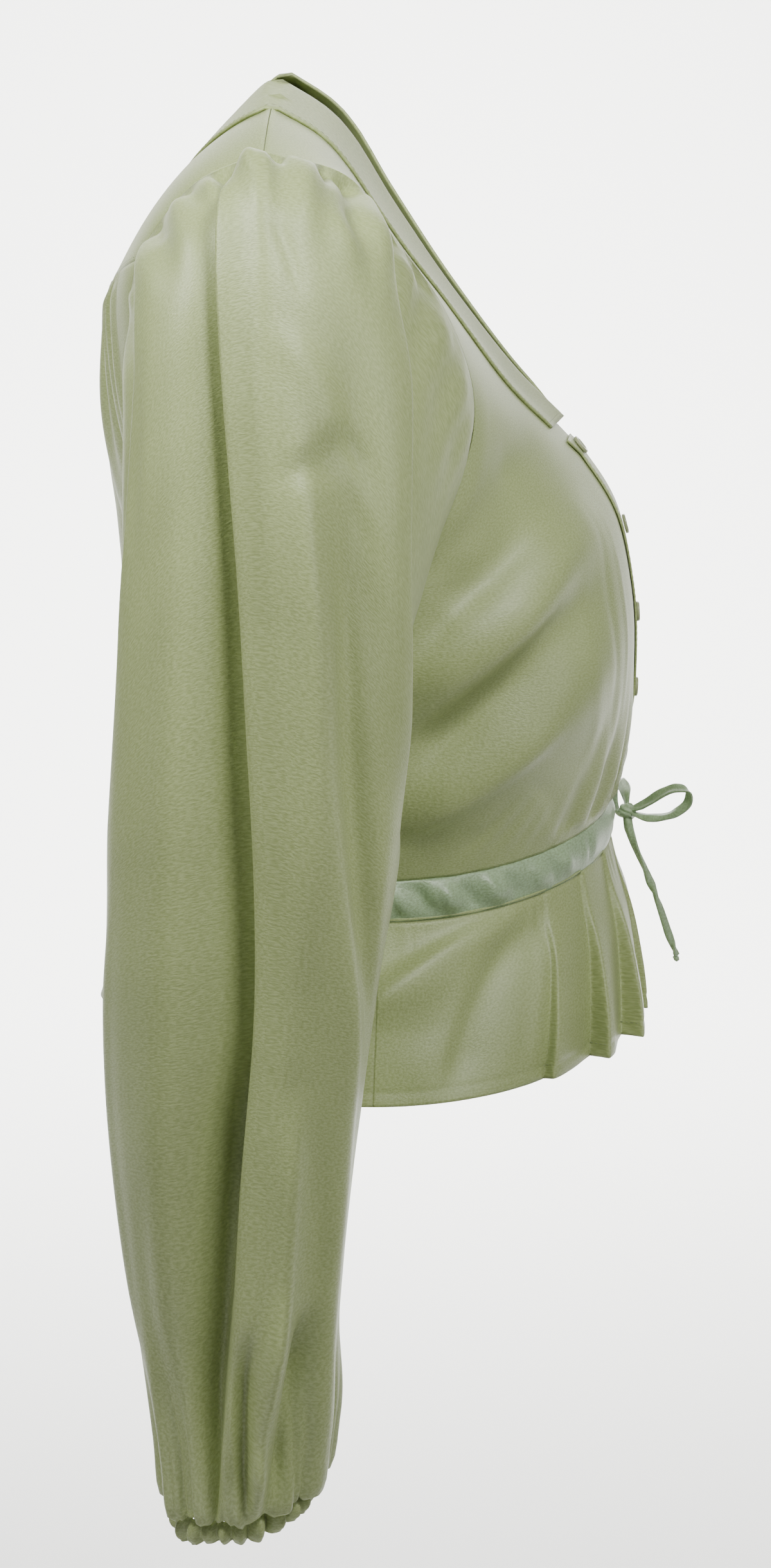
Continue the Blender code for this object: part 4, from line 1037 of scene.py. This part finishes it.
def satin(name, face, shade, grain, roughness, turn=0.0):
    """Hammered polyester satin: a fine crinkled face, painted darker in its dents as their shade, with a
    broad soft sheen over it.
    """
    made, tree, shader = shaded(name)
    place = add(tree, "ShaderNodeTexCoord").outputs["UV"]
    laid = {"Rotation": (0, 0, turn), "Scale": (0.62, 1.0, 1.0)}
    spot = {"Vector": add(tree, "ShaderNodeMapping", laid, {"Vector": place}).outputs[0]}
    # The dents of the hammered face, longer across than down. They are drawn coarser than the cloth's own.
    dents = add(tree, "ShaderNodeTexNoise", {"Scale": 1 / grain, "Detail": 2.0, "Roughness": 0.6}, spot)
    dent = dents.outputs["Fac"]
    # Uneven sheen where the cloth was handled, a hand's width apart.
    cloudy = add(tree, "ShaderNodeTexNoise", {"Scale": 14.0, "Detail": 2.0}, spot)
    # Painted shade: the colour runs from the shade colour in the deepest dents to the face colour on their
    # tops, by the same noise that bumps them.
    depth = add(tree, "ShaderNodeMapRange", {"From Min": 0.38, "From Max": 0.62}, {"Value": dent})
    tone_with_painted_shade = add(tree, "ShaderNodeMix", {"data_type": "RGBA"}, {"Factor": depth.outputs["Result"]})
    tone_with_painted_shade.inputs[6].default_value = (*shade, 1.0)
    tone_with_painted_shade.inputs[7].default_value = (*face, 1.0)
    range_of = {"From Min": 0.3, "From Max": 0.7, "To Min": 0.93, "To Max": 1.07}
    level = add(tree, "ShaderNodeMapRange", range_of, {"Value": cloudy.outputs["Fac"]})
    mixed = {"Value": level.outputs["Result"], "Color": tone_with_painted_shade.outputs[2]}
    varied = add(tree, "ShaderNodeHueSaturation", {}, mixed)
    bump = add(tree, "ShaderNodeBump", {"Strength": 0.6, "Distance": 0.3 * grain}, {"Height": dent})
    tree.links.new(varied.outputs["Color"], shader.inputs["Base Color"])
    tree.links.new(bump.outputs["Normal"], shader.inputs["Normal"])
    shader.inputs["Roughness"].default_value = roughness
    shader.inputs["Specular IOR Level"].default_value = 0.6
    shader.inputs["Sheen Weight"].default_value = 0.04
    shader.inputs["Sheen Roughness"].default_value = 0.4
    return made


def plain(name, colour, roughness, spread_mm=0.0, coat=0.0):
    """A finish of one colour, uneven over some millimetres where a spread is given."""
    made, tree, shader = shaded(name)
    shader.inputs["Base Color"].default_value = (*colour, 1.0)
    shader.inputs["Roughness"].default_value = roughness
    shader.inputs["Coat Weight"].default_value = coat
    if spread_mm:
        place = add(tree, "ShaderNodeTexCoord").outputs["Object"]
        fine = {"Scale": 1 / (spread_mm * MM), "Detail": 2.0}
        noise = add(tree, "ShaderNodeTexNoise", fine, {"Vector": place})
        range_of = {"From Min": 0.3, "From Max": 0.7, "To Min": 0.9, "To Max": 1.1}
        level = add(tree, "ShaderNodeMapRange", range_of, {"Value": noise.outputs["Fac"]})
        tint = {"Color": (*colour, 1.0)}
        varied = add(tree, "ShaderNodeHueSaturation", tint, {"Value": level.outputs["Result"]})
        tree.links.new(varied.outputs["Color"], shader.inputs["Base Color"])
    return made


SATIN = "hammered satin"
CROSS_SATIN = "hammered satin on the cross grain"


def look(name):
    """The blouse's materials, each made once."""
    found = bpy.data.materials.get(name)
    if found:
        return found
    c, s = colours(), sizes()
    if name == SATIN:
        return satin(name, c.satin, c.satin_painted_shade, s.grain, 0.46)
    if name == CROSS_SATIN:
        return satin(name, c.bands, c.bands_painted_shade, s.grain, 0.38, math.radians(90))
    # Sewing thread: a dull line with lighter and darker spots along it.
    if name == "polyester thread":
        return plain(name, c.thread, 0.5, 0.6)
    # Polished resin, dyed through: a small hard gloss over a faintly clouded colour.
    if name == "dyed resin":
        return plain(name, c.resin, 0.22, 3.0, 0.3)
    # A matt floor: it takes soft shadows and shows no gloss.
    return plain(name, c.floor, 0.9)


def lengths(place):
    """How long a surface is in metres along each of its two directions, at their middle."""
    t = np.linspace(0, 1, 200)
    half = np.full(200, 0.5)
    across, along = place(t, half), place(half, t)
    return (
        np.linalg.norm(np.diff(across, axis=0), axis=1).sum(),
        np.linalg.norm(np.diff(along, axis=0), axis=1).sum(),
    )


def finish_piece(name, mesh, material, slot, nodes=()):
    """Puts a mesh in the scene as a piece of the blouse."""
    mesh.materials.append(material)
    mesh.shade_smooth()
    made = bpy.data.objects.new(name, mesh)
    bpy.context.scene.collection.objects.link(made)
    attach(made, "root")
    if nodes:
        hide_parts(*nodes)
    return made


def scale_flat(mesh, scale):
    """Gives the UV map its real size in metres, so that a pattern has its own scale on the cloth."""
    flat = np.empty(len(mesh.loops) * 2, np.float32)
    mesh.uv_layers["flat"].data.foreach_get("uv", flat)
    mesh.uv_layers["flat"].data.foreach_set("uv", (flat.reshape(-1, 2) * scale).ravel())


def cloth(name, columns, rows, place, material, slot, nodes, wrap=False, thickness=None):
    """A sheet of cloth: a grid laid on a surface, with its flat size as its UV map, given its thickness."""
    bm = bmesh.new()
    bm.loops.layers.uv.new("flat")
    bmesh.ops.create_grid(bm, x_segments=columns, y_segments=rows, size=0.5, calc_uvs=True)
    shares = np.array([v.co[:2] for v in bm.verts]) + 0.5
    for vert, point in zip(bm.verts, place(shares[:, 0], shares[:, 1])):
        vert.co = point
    if wrap:
        bmesh.ops.remove_doubles(bm, verts=bm.verts, dist=WELD)
    bmesh.ops.recalc_face_normals(bm, faces=bm.faces)
    mesh = bpy.data.meshes.new(name)
    bm.to_mesh(mesh)
    bm.free()
    scale_flat(mesh, lengths(place))
    made = finish_piece(name, mesh, material, slot, nodes)
    wall = made.modifiers.new("wall", "SOLIDIFY")
    wall.thickness = thickness or sizes().cloth
    wall.offset = 0.0
    wall.use_quality_normals = True
    return made


def outward(place, middle):
    """1 or -1: which way a surface's normals point away from a middle point in metres."""
    u, v = (a.ravel() for a in np.meshgrid(np.linspace(0.1, 0.9, 9), np.linspace(0.1, 0.9, 9)))
    facing = (normals_of(place, u, v) * (place(u, v) - middle)).sum()
    return 1.0 if facing > 0 else -1.0


def stitches(name, lines, material, lift):
    """Rows of stitches. Each line is a function that gives points and the way out of the cloth at shares."""
    bm = bmesh.new()
    stitch, thread = sizes().stitch, sizes().thread

    def read(at, run, columns):
        return np.array([np.interp(at, run, columns[:, i]) for i in range(3)])

    for line in lines:
        t = np.linspace(0, 1, 1500)
        spots, outs = line(t)
        run = np.concatenate([[0], np.cumsum(np.linalg.norm(np.diff(spots, axis=0), axis=1))])
        places = np.arange(0.5 * stitch, run[-1] - 0.5 * stitch, stitch + 2 * thread)
        for at in places:
            ends = [read(at + half, run, spots) for half in (-stitch / 2, stitch / 2)]
            out = Vector(read(at, run, outs)).normalized()
            way = Vector(ends[1] - ends[0])
            long = way.length
            way.normalize()
            side = out.cross(way).normalized()
            out = way.cross(side)
            middle = Vector((ends[0] + ends[1]) / 2) + out * lift
            turn = Matrix((way, side, out)).transposed().to_4x4()
            shape = Matrix.Diagonal((long / 2, thread / 2, thread / 2.6, 1.0))
            laid = Matrix.Translation(middle) @ turn @ shape
            bmesh.ops.create_icosphere(bm, subdivisions=1, radius=1.0, matrix=laid)
    mesh = bpy.data.meshes.new(name)
    bm.to_mesh(mesh)
    bm.free()
    return finish_piece(name, mesh, material, "satin")


def seam_line(place, middle, fixed_u=None, fixed_v=None, span=(0.0, 1.0)):
    """A line on a surface at a fixed share, with the way out of it."""
    sign = outward(place, middle)

    def line(t):
        t = span[0] + (span[1] - span[0]) * t
        u = np.full_like(t, fixed_u) if fixed_u is not None else t
        v = np.full_like(t, fixed_v) if fixed_v is not None else t
        return place(u, v), normals_of(place, u, v) * sign

    return line


def middle_of(node):
    """The middle of a node's box, in metres."""
    low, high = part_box(node)
    return np.array((low + high) / 2)


BODY = np.array(BODY_MIDDLE) * MM
# The wearer's right side is at negative y.
SIDES = ((-1, "right"), (1, "left"))
# The seams of the dressed pieces are closed almost to nothing.
SEAM = SEAM_GAP * 0.2


def front_shape(side):
    """A front, trimmed to its seams."""
    return trimmed(front(side), (0, SEAM), (2 * SEAM, 2 * SEAM))


def back_shape():
    """The back, trimmed to its seams."""
    return trimmed(back, (SEAM, SEAM), (2 * SEAM, 2 * SEAM))


def yoke_shape():
    """The yoke, trimmed to its seams."""
    return trimmed(yoke, (0, 0), (3 * SEAM, 2 * SEAM))


# The floor's sweep, in metres: where it starts, where it turns up, its radius, its half width and its height.
SWEEP_START = -8.0
SWEEP_AT = 3.0
SWEEP_RADIUS = 1.6
SWEEP_HALF = 7.0
SWEEP_TOP = 6.0
# The camera at the photograph's viewing angle: its place in metres, its tilt in degrees, its lens and its
# film's height in millimetres.
CAMERA_AT = (0.053, -1.60, 0.036)
CAMERA_TILT = 76.4
CAMERA_LENS = 73.62
CAMERA_FILM = 36.0
ROOM_LIGHT = 0.06
# The soft lamps: name, place, aim, sides in metres and power in watts.
LAMPS = (
    ("key", (-0.5, -0.62, 0.62), (0.0, -0.15, -0.12), (0.3, 0.3), 13.0),
    ("bodice", (0.42, -0.76, 0.6), (0.12, -0.1, -0.32), (0.3, 0.3), 10.0),
    ("peplum", (1.1, -0.85, 0.1), (0.16, -0.1, -0.52), (0.3, 0.3), 3.0),
    ("cuffs", (-0.12, -0.45, -0.78), (0.0, -0.05, -0.65), (0.15, 0.15), 0.1),
    ("floor before it", (0.0, -6.0, 0.4), (0.0, -6.4, -1.4), (3.6, 2.0), 60.0),
    ("far side", (0.3, 1.7, 1.1), (0.0, 0.1, -0.2), (1.2, 1.2), 9.0),
    ("backdrop", (0.0, 2.2, 1.6), (0.0, 4.4, -0.6), (3.6, 1.0), 650.0),
    ("floor wash", (0.0, 3.1, 0.4), (0.0, 3.4, -1.4), (3.6, 1.2), 175.0),
)


class BLOUSE_OT_stage(bpy.types.Operator):
    """Adds the floor, the soft lights and the camera"""

    bl_idname = "blouse.stage"
    bl_label = "Stage"

    def execute(self, context):
        drop = sizes().floor_drop
        # The floor runs back and sweeps up into a wall, as paper does in a studio.
        profile = [(SWEEP_START, 0.0), (SWEEP_AT, 0.0)]
        for turn in np.linspace(0, math.pi / 2, 24)[1:]:
            profile.append((SWEEP_AT + SWEEP_RADIUS * math.sin(turn), SWEEP_RADIUS * (1 - math.cos(turn))))
        profile.append((SWEEP_AT + SWEEP_RADIUS, SWEEP_TOP))
        bm = bmesh.new()
        sides = [[bm.verts.new((x, y, z - drop)) for y, z in profile] for x in (-SWEEP_HALF, SWEEP_HALF)]
        for i in range(len(profile) - 1):
            bm.faces.new((sides[0][i], sides[1][i], sides[1][i + 1], sides[0][i + 1]))
        mesh = bpy.data.meshes.new("floor")
        bm.to_mesh(mesh)
        bm.free()
        mesh.shade_smooth()
        mesh.materials.append(look("pale floor"))
        floor = bpy.data.objects.new("floor", mesh)
        context.scene.collection.objects.link(floor)
        world = bpy.data.worlds.new("soft white room")
        world.use_nodes = True
        room = world.node_tree.nodes["Background"]
        room.inputs["Color"].default_value = (1.0, 1.0, 1.0, 1.0)
        room.inputs["Strength"].default_value = ROOM_LIGHT
        context.scene.world = world
        for name, spot, aim, size, power in LAMPS:
            light = bpy.data.lights.new(name, "AREA")
            light.energy = power
            light.shape = "RECTANGLE"
            light.size, light.size_y = size
            lamp = bpy.data.objects.new(name, light)
            lamp.location = spot
            lamp.rotation_euler = (Vector(aim) - Vector(spot)).to_track_quat("-Z", "Y").to_euler()
            context.scene.collection.objects.link(lamp)
        camera_data = bpy.data.cameras.new("photo view")
        camera_data.sensor_fit = "VERTICAL"
        camera_data.sensor_height = CAMERA_FILM
        camera_data.lens = CAMERA_LENS
        camera = bpy.data.objects.new("photo view", camera_data)
        camera.location = CAMERA_AT
        camera.rotation_euler = (math.radians(CAMERA_TILT), 0.0, 0.0)
        context.scene.collection.objects.link(camera)
        context.scene.camera = camera
        return {"FINISHED"}


class BLOUSE_OT_fronts(bpy.types.Operator):
    """Makes the two fronts and the buttonhole band"""

    bl_idname = "blouse.fronts"
    bl_label = "Fronts and band"

    def execute(self, context):
        face = look(SATIN)
        for side, name in SIDES:
            shape = front_shape(side)
            made = cloth(f"cloth_front_{name}", 110, 180, shape, face, "satin", (f"front_{name}",))
        thick = BAND_CLOTH * MM
        band = cloth("cloth_front_band", 12, 90, front_band, face, "satin", ("front_band",), thickness=thick)
        return {"FINISHED"}


class BLOUSE_OT_back(bpy.types.Operator):
    """Makes the gathered back and the yoke"""

    bl_idname = "blouse.back"
    bl_label = "Back and yoke"

    def execute(self, context):
        made = cloth("cloth_back", 190, 130, back_shape(), look(SATIN), "satin", ("back",))
        made = cloth("cloth_yoke", 150, 44, yoke_shape(), look(SATIN), "satin", ("back_yoke",))
        return {"FINISHED"}


class BLOUSE_OT_collar(bpy.types.Operator):
    """Makes the flat pointed collar"""

    bl_idname = "blouse.collar"
    bl_label = "Collar"

    def execute(self, context):
        shape = collar(body_surface([front(-1), front(1), yoke], 60, 90))
        thick = 2 * sizes().cloth
        made = cloth("cloth_collar", 200, 20, shape, look(SATIN), "satin", ("collar",), thickness=thick)
        return {"FINISHED"}


class BLOUSE_OT_sleeves(bpy.types.Operator):
    """Makes the two gathered sleeves"""

    bl_idname = "blouse.sleeves"
    bl_label = "Sleeves"

    def execute(self, context):
        for side, name in SIDES:
            shape = trimmed(sleeve(side), (0, 0), (SLEEVE_GAP * 0.1, 0))
            size, node = (SLEEVE_COLUMNS, SLEEVE_ROWS), (f"sleeve_{name}",)
            made = cloth(f"cloth_sleeve_{name}", *size, shape, look(SATIN), "satin", node, wrap=True)
        return {"FINISHED"}


class BLOUSE_OT_cuffs(bpy.types.Operator):
    """Makes the elastic casings at the wrists"""

    bl_idname = "blouse.cuffs"
    bl_label = "Cuffs"

    def execute(self, context):
        for side, name in SIDES:
            size, node = (12 * CUFF_GATHERS, 14), (f"cuff_{name}",)
            made = cloth(f"cloth_cuff_{name}", *size, cuff(side), look(SATIN), "satin", node, wrap=True)
        return {"FINISHED"}


class BLOUSE_OT_casing(bpy.types.Operator):
    """Makes the drawstring's casing at the waist"""

    bl_idname = "blouse.casing"
    bl_label = "Waist casing"

    def execute(self, context):
        made = cloth("cloth_casing", 420, 16, casing, look(CROSS_SATIN), "bands", ("waist_casing",))
        return {"FINISHED"}


class BLOUSE_OT_peplum(bpy.types.Operator):
    """Makes the peplum's three panels"""

    bl_idname = "blouse.peplum"
    bl_label = "Peplum"

    def execute(self, context):
        for (name, start, end), columns, width in zip(PANELS, (230, 260, 230), (0.30, 0.42, 0.30)):
            shape, node = peplum_panel(start, end), (f"peplum_{name}",)
            made = cloth(f"cloth_peplum_{name}", columns, 60, shape, look(SATIN), "satin", node)
        return {"FINISHED"}


# A button's section from the middle of its face round its rim to the middle of its back: shares of its radius
# and of half its height. Its holes are in millimetres.
BUTTON_PROFILE = (
    (0.0, 0.55), (0.56, 0.5), (0.66, 0.9), (0.86, 1.0), (0.97, 0.7),
    (1.0, 0.0), (0.93, -0.8), (0.5, -1.0), (0.0, -1.0),
)
HOLE_AT = 1.35
HOLE_DEPTH = 0.9


class BLOUSE_OT_buttons(bpy.types.Operator):
    """Makes the buttons, each with its holes"""

    bl_idname = "blouse.buttons"
    bl_label = "Buttons"

    def execute(self, context):
        for i in range(BUTTON_COUNT):
            self.button(i)
        return {"FINISHED"}

    def button(self, i):
        lift = BAND_LIFT + BAND_CLOTH / 2 + BUTTON_HEIGHT / 2 + 0.1
        height = BUTTON_TOP - BUTTON_STEP * i
        spot, out = band_points(np.array([BAND_EDGE + BAND_SHARE / 2]), np.array([height]), lift)
        turn = Vector(out[0]).to_track_quat("Z", "Y").to_matrix().to_4x4()
        radius, half = BUTTON_DIAMETER / 2, BUTTON_HEIGHT / 2
        steps = len(BUTTON_PROFILE) - 1
        rows = ((k / steps, r * radius, z * half) for k, (r, z) in enumerate(BUTTON_PROFILE))
        profile = Table("at r z", *rows)
        bm = bmesh.new()
        bmesh.ops.create_grid(bm, x_segments=64, y_segments=48, size=0.5)
        shares = np.array([v.co[:2] for v in bm.verts]) + 0.5
        turns = 2 * math.pi * shares[:, 0]
        out_from, z = profile.read("r", shares[:, 1]), profile.read("z", shares[:, 1])
        x, y = out_from * np.cos(turns), out_from * np.sin(turns)
        holes = sizes().button_holes
        for k in range(holes):
            at = 2 * math.pi * (k + 0.5) / holes
            away = np.hypot(x - HOLE_AT * math.cos(at), y - HOLE_AT * math.sin(at))
            z = z - HOLE_DEPTH * (1 - smooth(0.45, 0.75, away)) * (shares[:, 1] < 0.5)
        for vert, point in zip(bm.verts, np.stack([x, y, z], axis=-1) * MM):
            vert.co = point
        bmesh.ops.remove_doubles(bm, verts=bm.verts, dist=WELD)
        bmesh.ops.recalc_face_normals(bm, faces=bm.faces)
        bmesh.ops.transform(bm, matrix=Matrix.Translation(spot[0]) @ turn, verts=bm.verts)
        mesh = bpy.data.meshes.new(f"resin_button_{i + 1}")
        bm.to_mesh(mesh)
        bm.free()
        finish_piece(f"resin_button_{i + 1}", mesh, look("dyed resin"), "resin", (f"button_{i + 1}",))


class BLOUSE_OT_tie(bpy.types.Operator):
    """Makes the drawstring's bow: two loops, two tails and their knots"""

    bl_idname = "blouse.tie"
    bl_label = "Tie"

    def execute(self, context):
        material = look(CROSS_SATIN)
        self.knot("tie_bow_knot", KNOT_AT, np.array(KNOT) * 0.85, material, ("tie_knot",), 3)
        for name, route in TIE_ROUTES.items():
            path = self.middle(route, np.linspace(0, 1, 60), "loop" in name) * MM
            if "loop" in name:
                shape = self.strip(route)
                made = cloth(f"cloth_{name}", 10, 120, shape, material, "bands", (name,), thickness=0.0009)
                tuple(path[0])
            else:
                end = route.point("", np.array([1.0]))[0] - (0, 0, END_KNOT / 2 + 0.5)
                node, size = name.replace("tail", "end_knot"), (END_KNOT, END_KNOT + 1, END_KNOT)
                knot = self.knot(f"{node}_wrapped", end, size, material, (node,), 2)
                shape = self.rolled(route)
                made = cloth(
                    f"cloth_{name}", 20, 160, shape, material, "bands", (name,), wrap=True, thickness=0.0003
                )
                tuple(path[0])
        return {"FINISHED"}

    def middle(self, route, v, loop):
        """The middle of a loop or a tail, whose ends run on into the knot."""
        ends = 1 - smooth(0.0, 0.07, v) * (1 - smooth(0.93, 1.0, v) * loop)
        spot = route.point("", v)
        return spot + (np.array(KNOT_AT) - spot) * 0.7 * ends[:, None]

    def ways(self, route, v):
        """The way in which the tie's width lies, and the way out of its face."""
        way = route.point("w", v)
        way /= np.linalg.norm(way, axis=-1, keepdims=True)
        along = route.point("", np.minimum(v + 0.01, 1)) - route.point("", np.maximum(v - 0.01, 0))
        out = np.cross(along, way)
        out /= np.linalg.norm(out, axis=-1, keepdims=True)
        return way, out

    def strip(self, route):
        """A loop's ribbon, its edges turned a little and a soft crease down its middle."""

        def place(u, v):
            way, out = self.ways(route, v)
            across = (u - 0.5) * TIE_WIDTH
            cup = 0.5 * np.cos(2 * math.pi * u) * (0.6 + 0.4 * np.sin(9 * v)) + 0.25 * np.sin(23 * v + 4 * u)
            spot = self.middle(route, v, True)
            across = across * (0.5 + 0.5 * smooth(0.0, 0.07, v) * (1 - smooth(0.93, 1.0, v)))
            return (spot + way * across[:, None] + out * cup[:, None]) * MM

        return place

    def rolled(self, route):
        """A tail rolled on itself: a flattened tube that turns as it falls."""

        def place(u, v):
            way, out = self.ways(route, v)
            turn = 2 * math.pi * u
            twist = 9.0 * v
            x = 0.48 * TAIL_WIDTH * np.cos(turn)
            y = 0.24 * TAIL_WIDTH * np.sin(turn) * (1 + 0.3 * np.cos(3 * turn))
            a, b = x * np.cos(twist) - y * np.sin(twist), x * np.sin(twist) + y * np.cos(twist)
            spot = self.middle(route, v, False)
            return (spot + way * a[:, None] + out * b[:, None]) * MM

        return place

    def knot(self, name, at, size, material, nodes, wraps):
        """A knot: a rounded ball with the turns of the ribbon round it."""
        bm = bmesh.new()
        bm.loops.layers.uv.new("flat")
        bmesh.ops.create_uvsphere(bm, u_segments=48, v_segments=28, radius=0.5, calc_uvs=True)
        for vert in bm.verts:
            x, y, z = vert.co * 2
            turn = math.atan2(y, x)
            groove = 0.07 * math.cos(wraps * 2 * math.pi * 0.5 * (z + 0.35 * math.cos(turn)) + turn)
            sides = zip((x, y, z), size, at)
            vert.co = [(c * (1 + groove) * 0.5 * side + middle) * MM for c, side, middle in sides]
        mesh = bpy.data.meshes.new(name)
        bm.to_mesh(mesh)
        bm.free()
        # The pattern runs once round the knot, about three times its width.
        scale_flat(mesh, max(size) * 3 * MM)
        return finish_piece(name, mesh, material, "bands", nodes)


class BLOUSE_OT_stitching(bpy.types.Operator):
    """Sews the hem, the collar's edge, the band, the yoke seam and the cuffs"""

    bl_idname = "blouse.stitching"
    bl_label = "Stitching"

    def execute(self, context):
        thread = look("polyester thread")
        lift = sizes().cloth / 2
        hem_at = 1 - sizes().hem / MM / PEPLUM_LENGTH
        hem = [seam_line(peplum_panel(start, end), BODY, fixed_v=hem_at) for _, start, end in PANELS]
        stitches("stitches_hem", hem, thread, lift)
        flat = collar(body_surface([front(-1), front(1), yoke], 60, 90))
        edge = [seam_line(flat, BODY, fixed_v=0.93, span=(0.01, 0.99))]
        edge += [seam_line(flat, BODY, fixed_u=end, span=(0.1, 0.93)) for end in (0.007, 0.993)]
        stitches("stitches_collar", edge, thread, 0.0007)
        lines = [seam_line(front_band, BODY, fixed_u=share, span=(0.01, 0.99)) for share in (0.08, 0.92)]
        stitches("stitches_band", lines, thread, 0.0005)
        stitches("stitches_yoke", [seam_line(yoke_shape(), BODY, fixed_v=0.97)], thread, lift)
        cuffs = []
        for side, name in SIDES:
            middle = middle_of(f"cuff_{name}")
            cuffs += [seam_line(cuff(side), middle, fixed_v=height) for height in (0.1, 0.9)]
        stitches("stitches_cuffs", cuffs, thread, lift)
        return {"FINISHED"}


class BLOUSE_PT_panel(bpy.types.Panel):
    """The blouse's pieces, sizes and colours"""

    bl_label = "Blouse"
    bl_idname = "BLOUSE_PT_panel"
    bl_space_type = "VIEW_3D"
    bl_region_type = "UI"
    bl_category = "Blouse"

    def draw(self, context):
        for piece in PIECES:
            self.layout.operator(piece.bl_idname)
        for group in (context.scene.blouse_sizes, context.scene.blouse_colours):
            for name in group.__annotations__:
                self.layout.prop(group, name)


PIECES = (
    BLOUSE_OT_stage,
    BLOUSE_OT_tie,
    BLOUSE_OT_fronts,
    BLOUSE_OT_back,
    BLOUSE_OT_sleeves,
    BLOUSE_OT_cuffs,
    BLOUSE_OT_casing,
    BLOUSE_OT_peplum,
    BLOUSE_OT_collar,
    BLOUSE_OT_buttons,
    BLOUSE_OT_stitching,
)
CLASSES = (BlouseSizes, BlouseColours, *PIECES, BLOUSE_PT_panel)


def register():
    for cls in CLASSES:
        bpy.utils.register_class(cls)
    bpy.types.Scene.blouse_sizes = PointerProperty(type=BlouseSizes)
    bpy.types.Scene.blouse_colours = PointerProperty(type=BlouseColours)


def unregister():
    del bpy.types.Scene.blouse_sizes
    del bpy.types.Scene.blouse_colours
    for cls in reversed(CLASSES):
        bpy.utils.unregister_class(cls)


def main():
    """Makes the blouse and its stage."""
    register()
    for piece in PIECES:
        getattr(bpy.ops.blouse, piece.bl_idname.split(".")[1])()


if __name__ == "__main__":
    main()
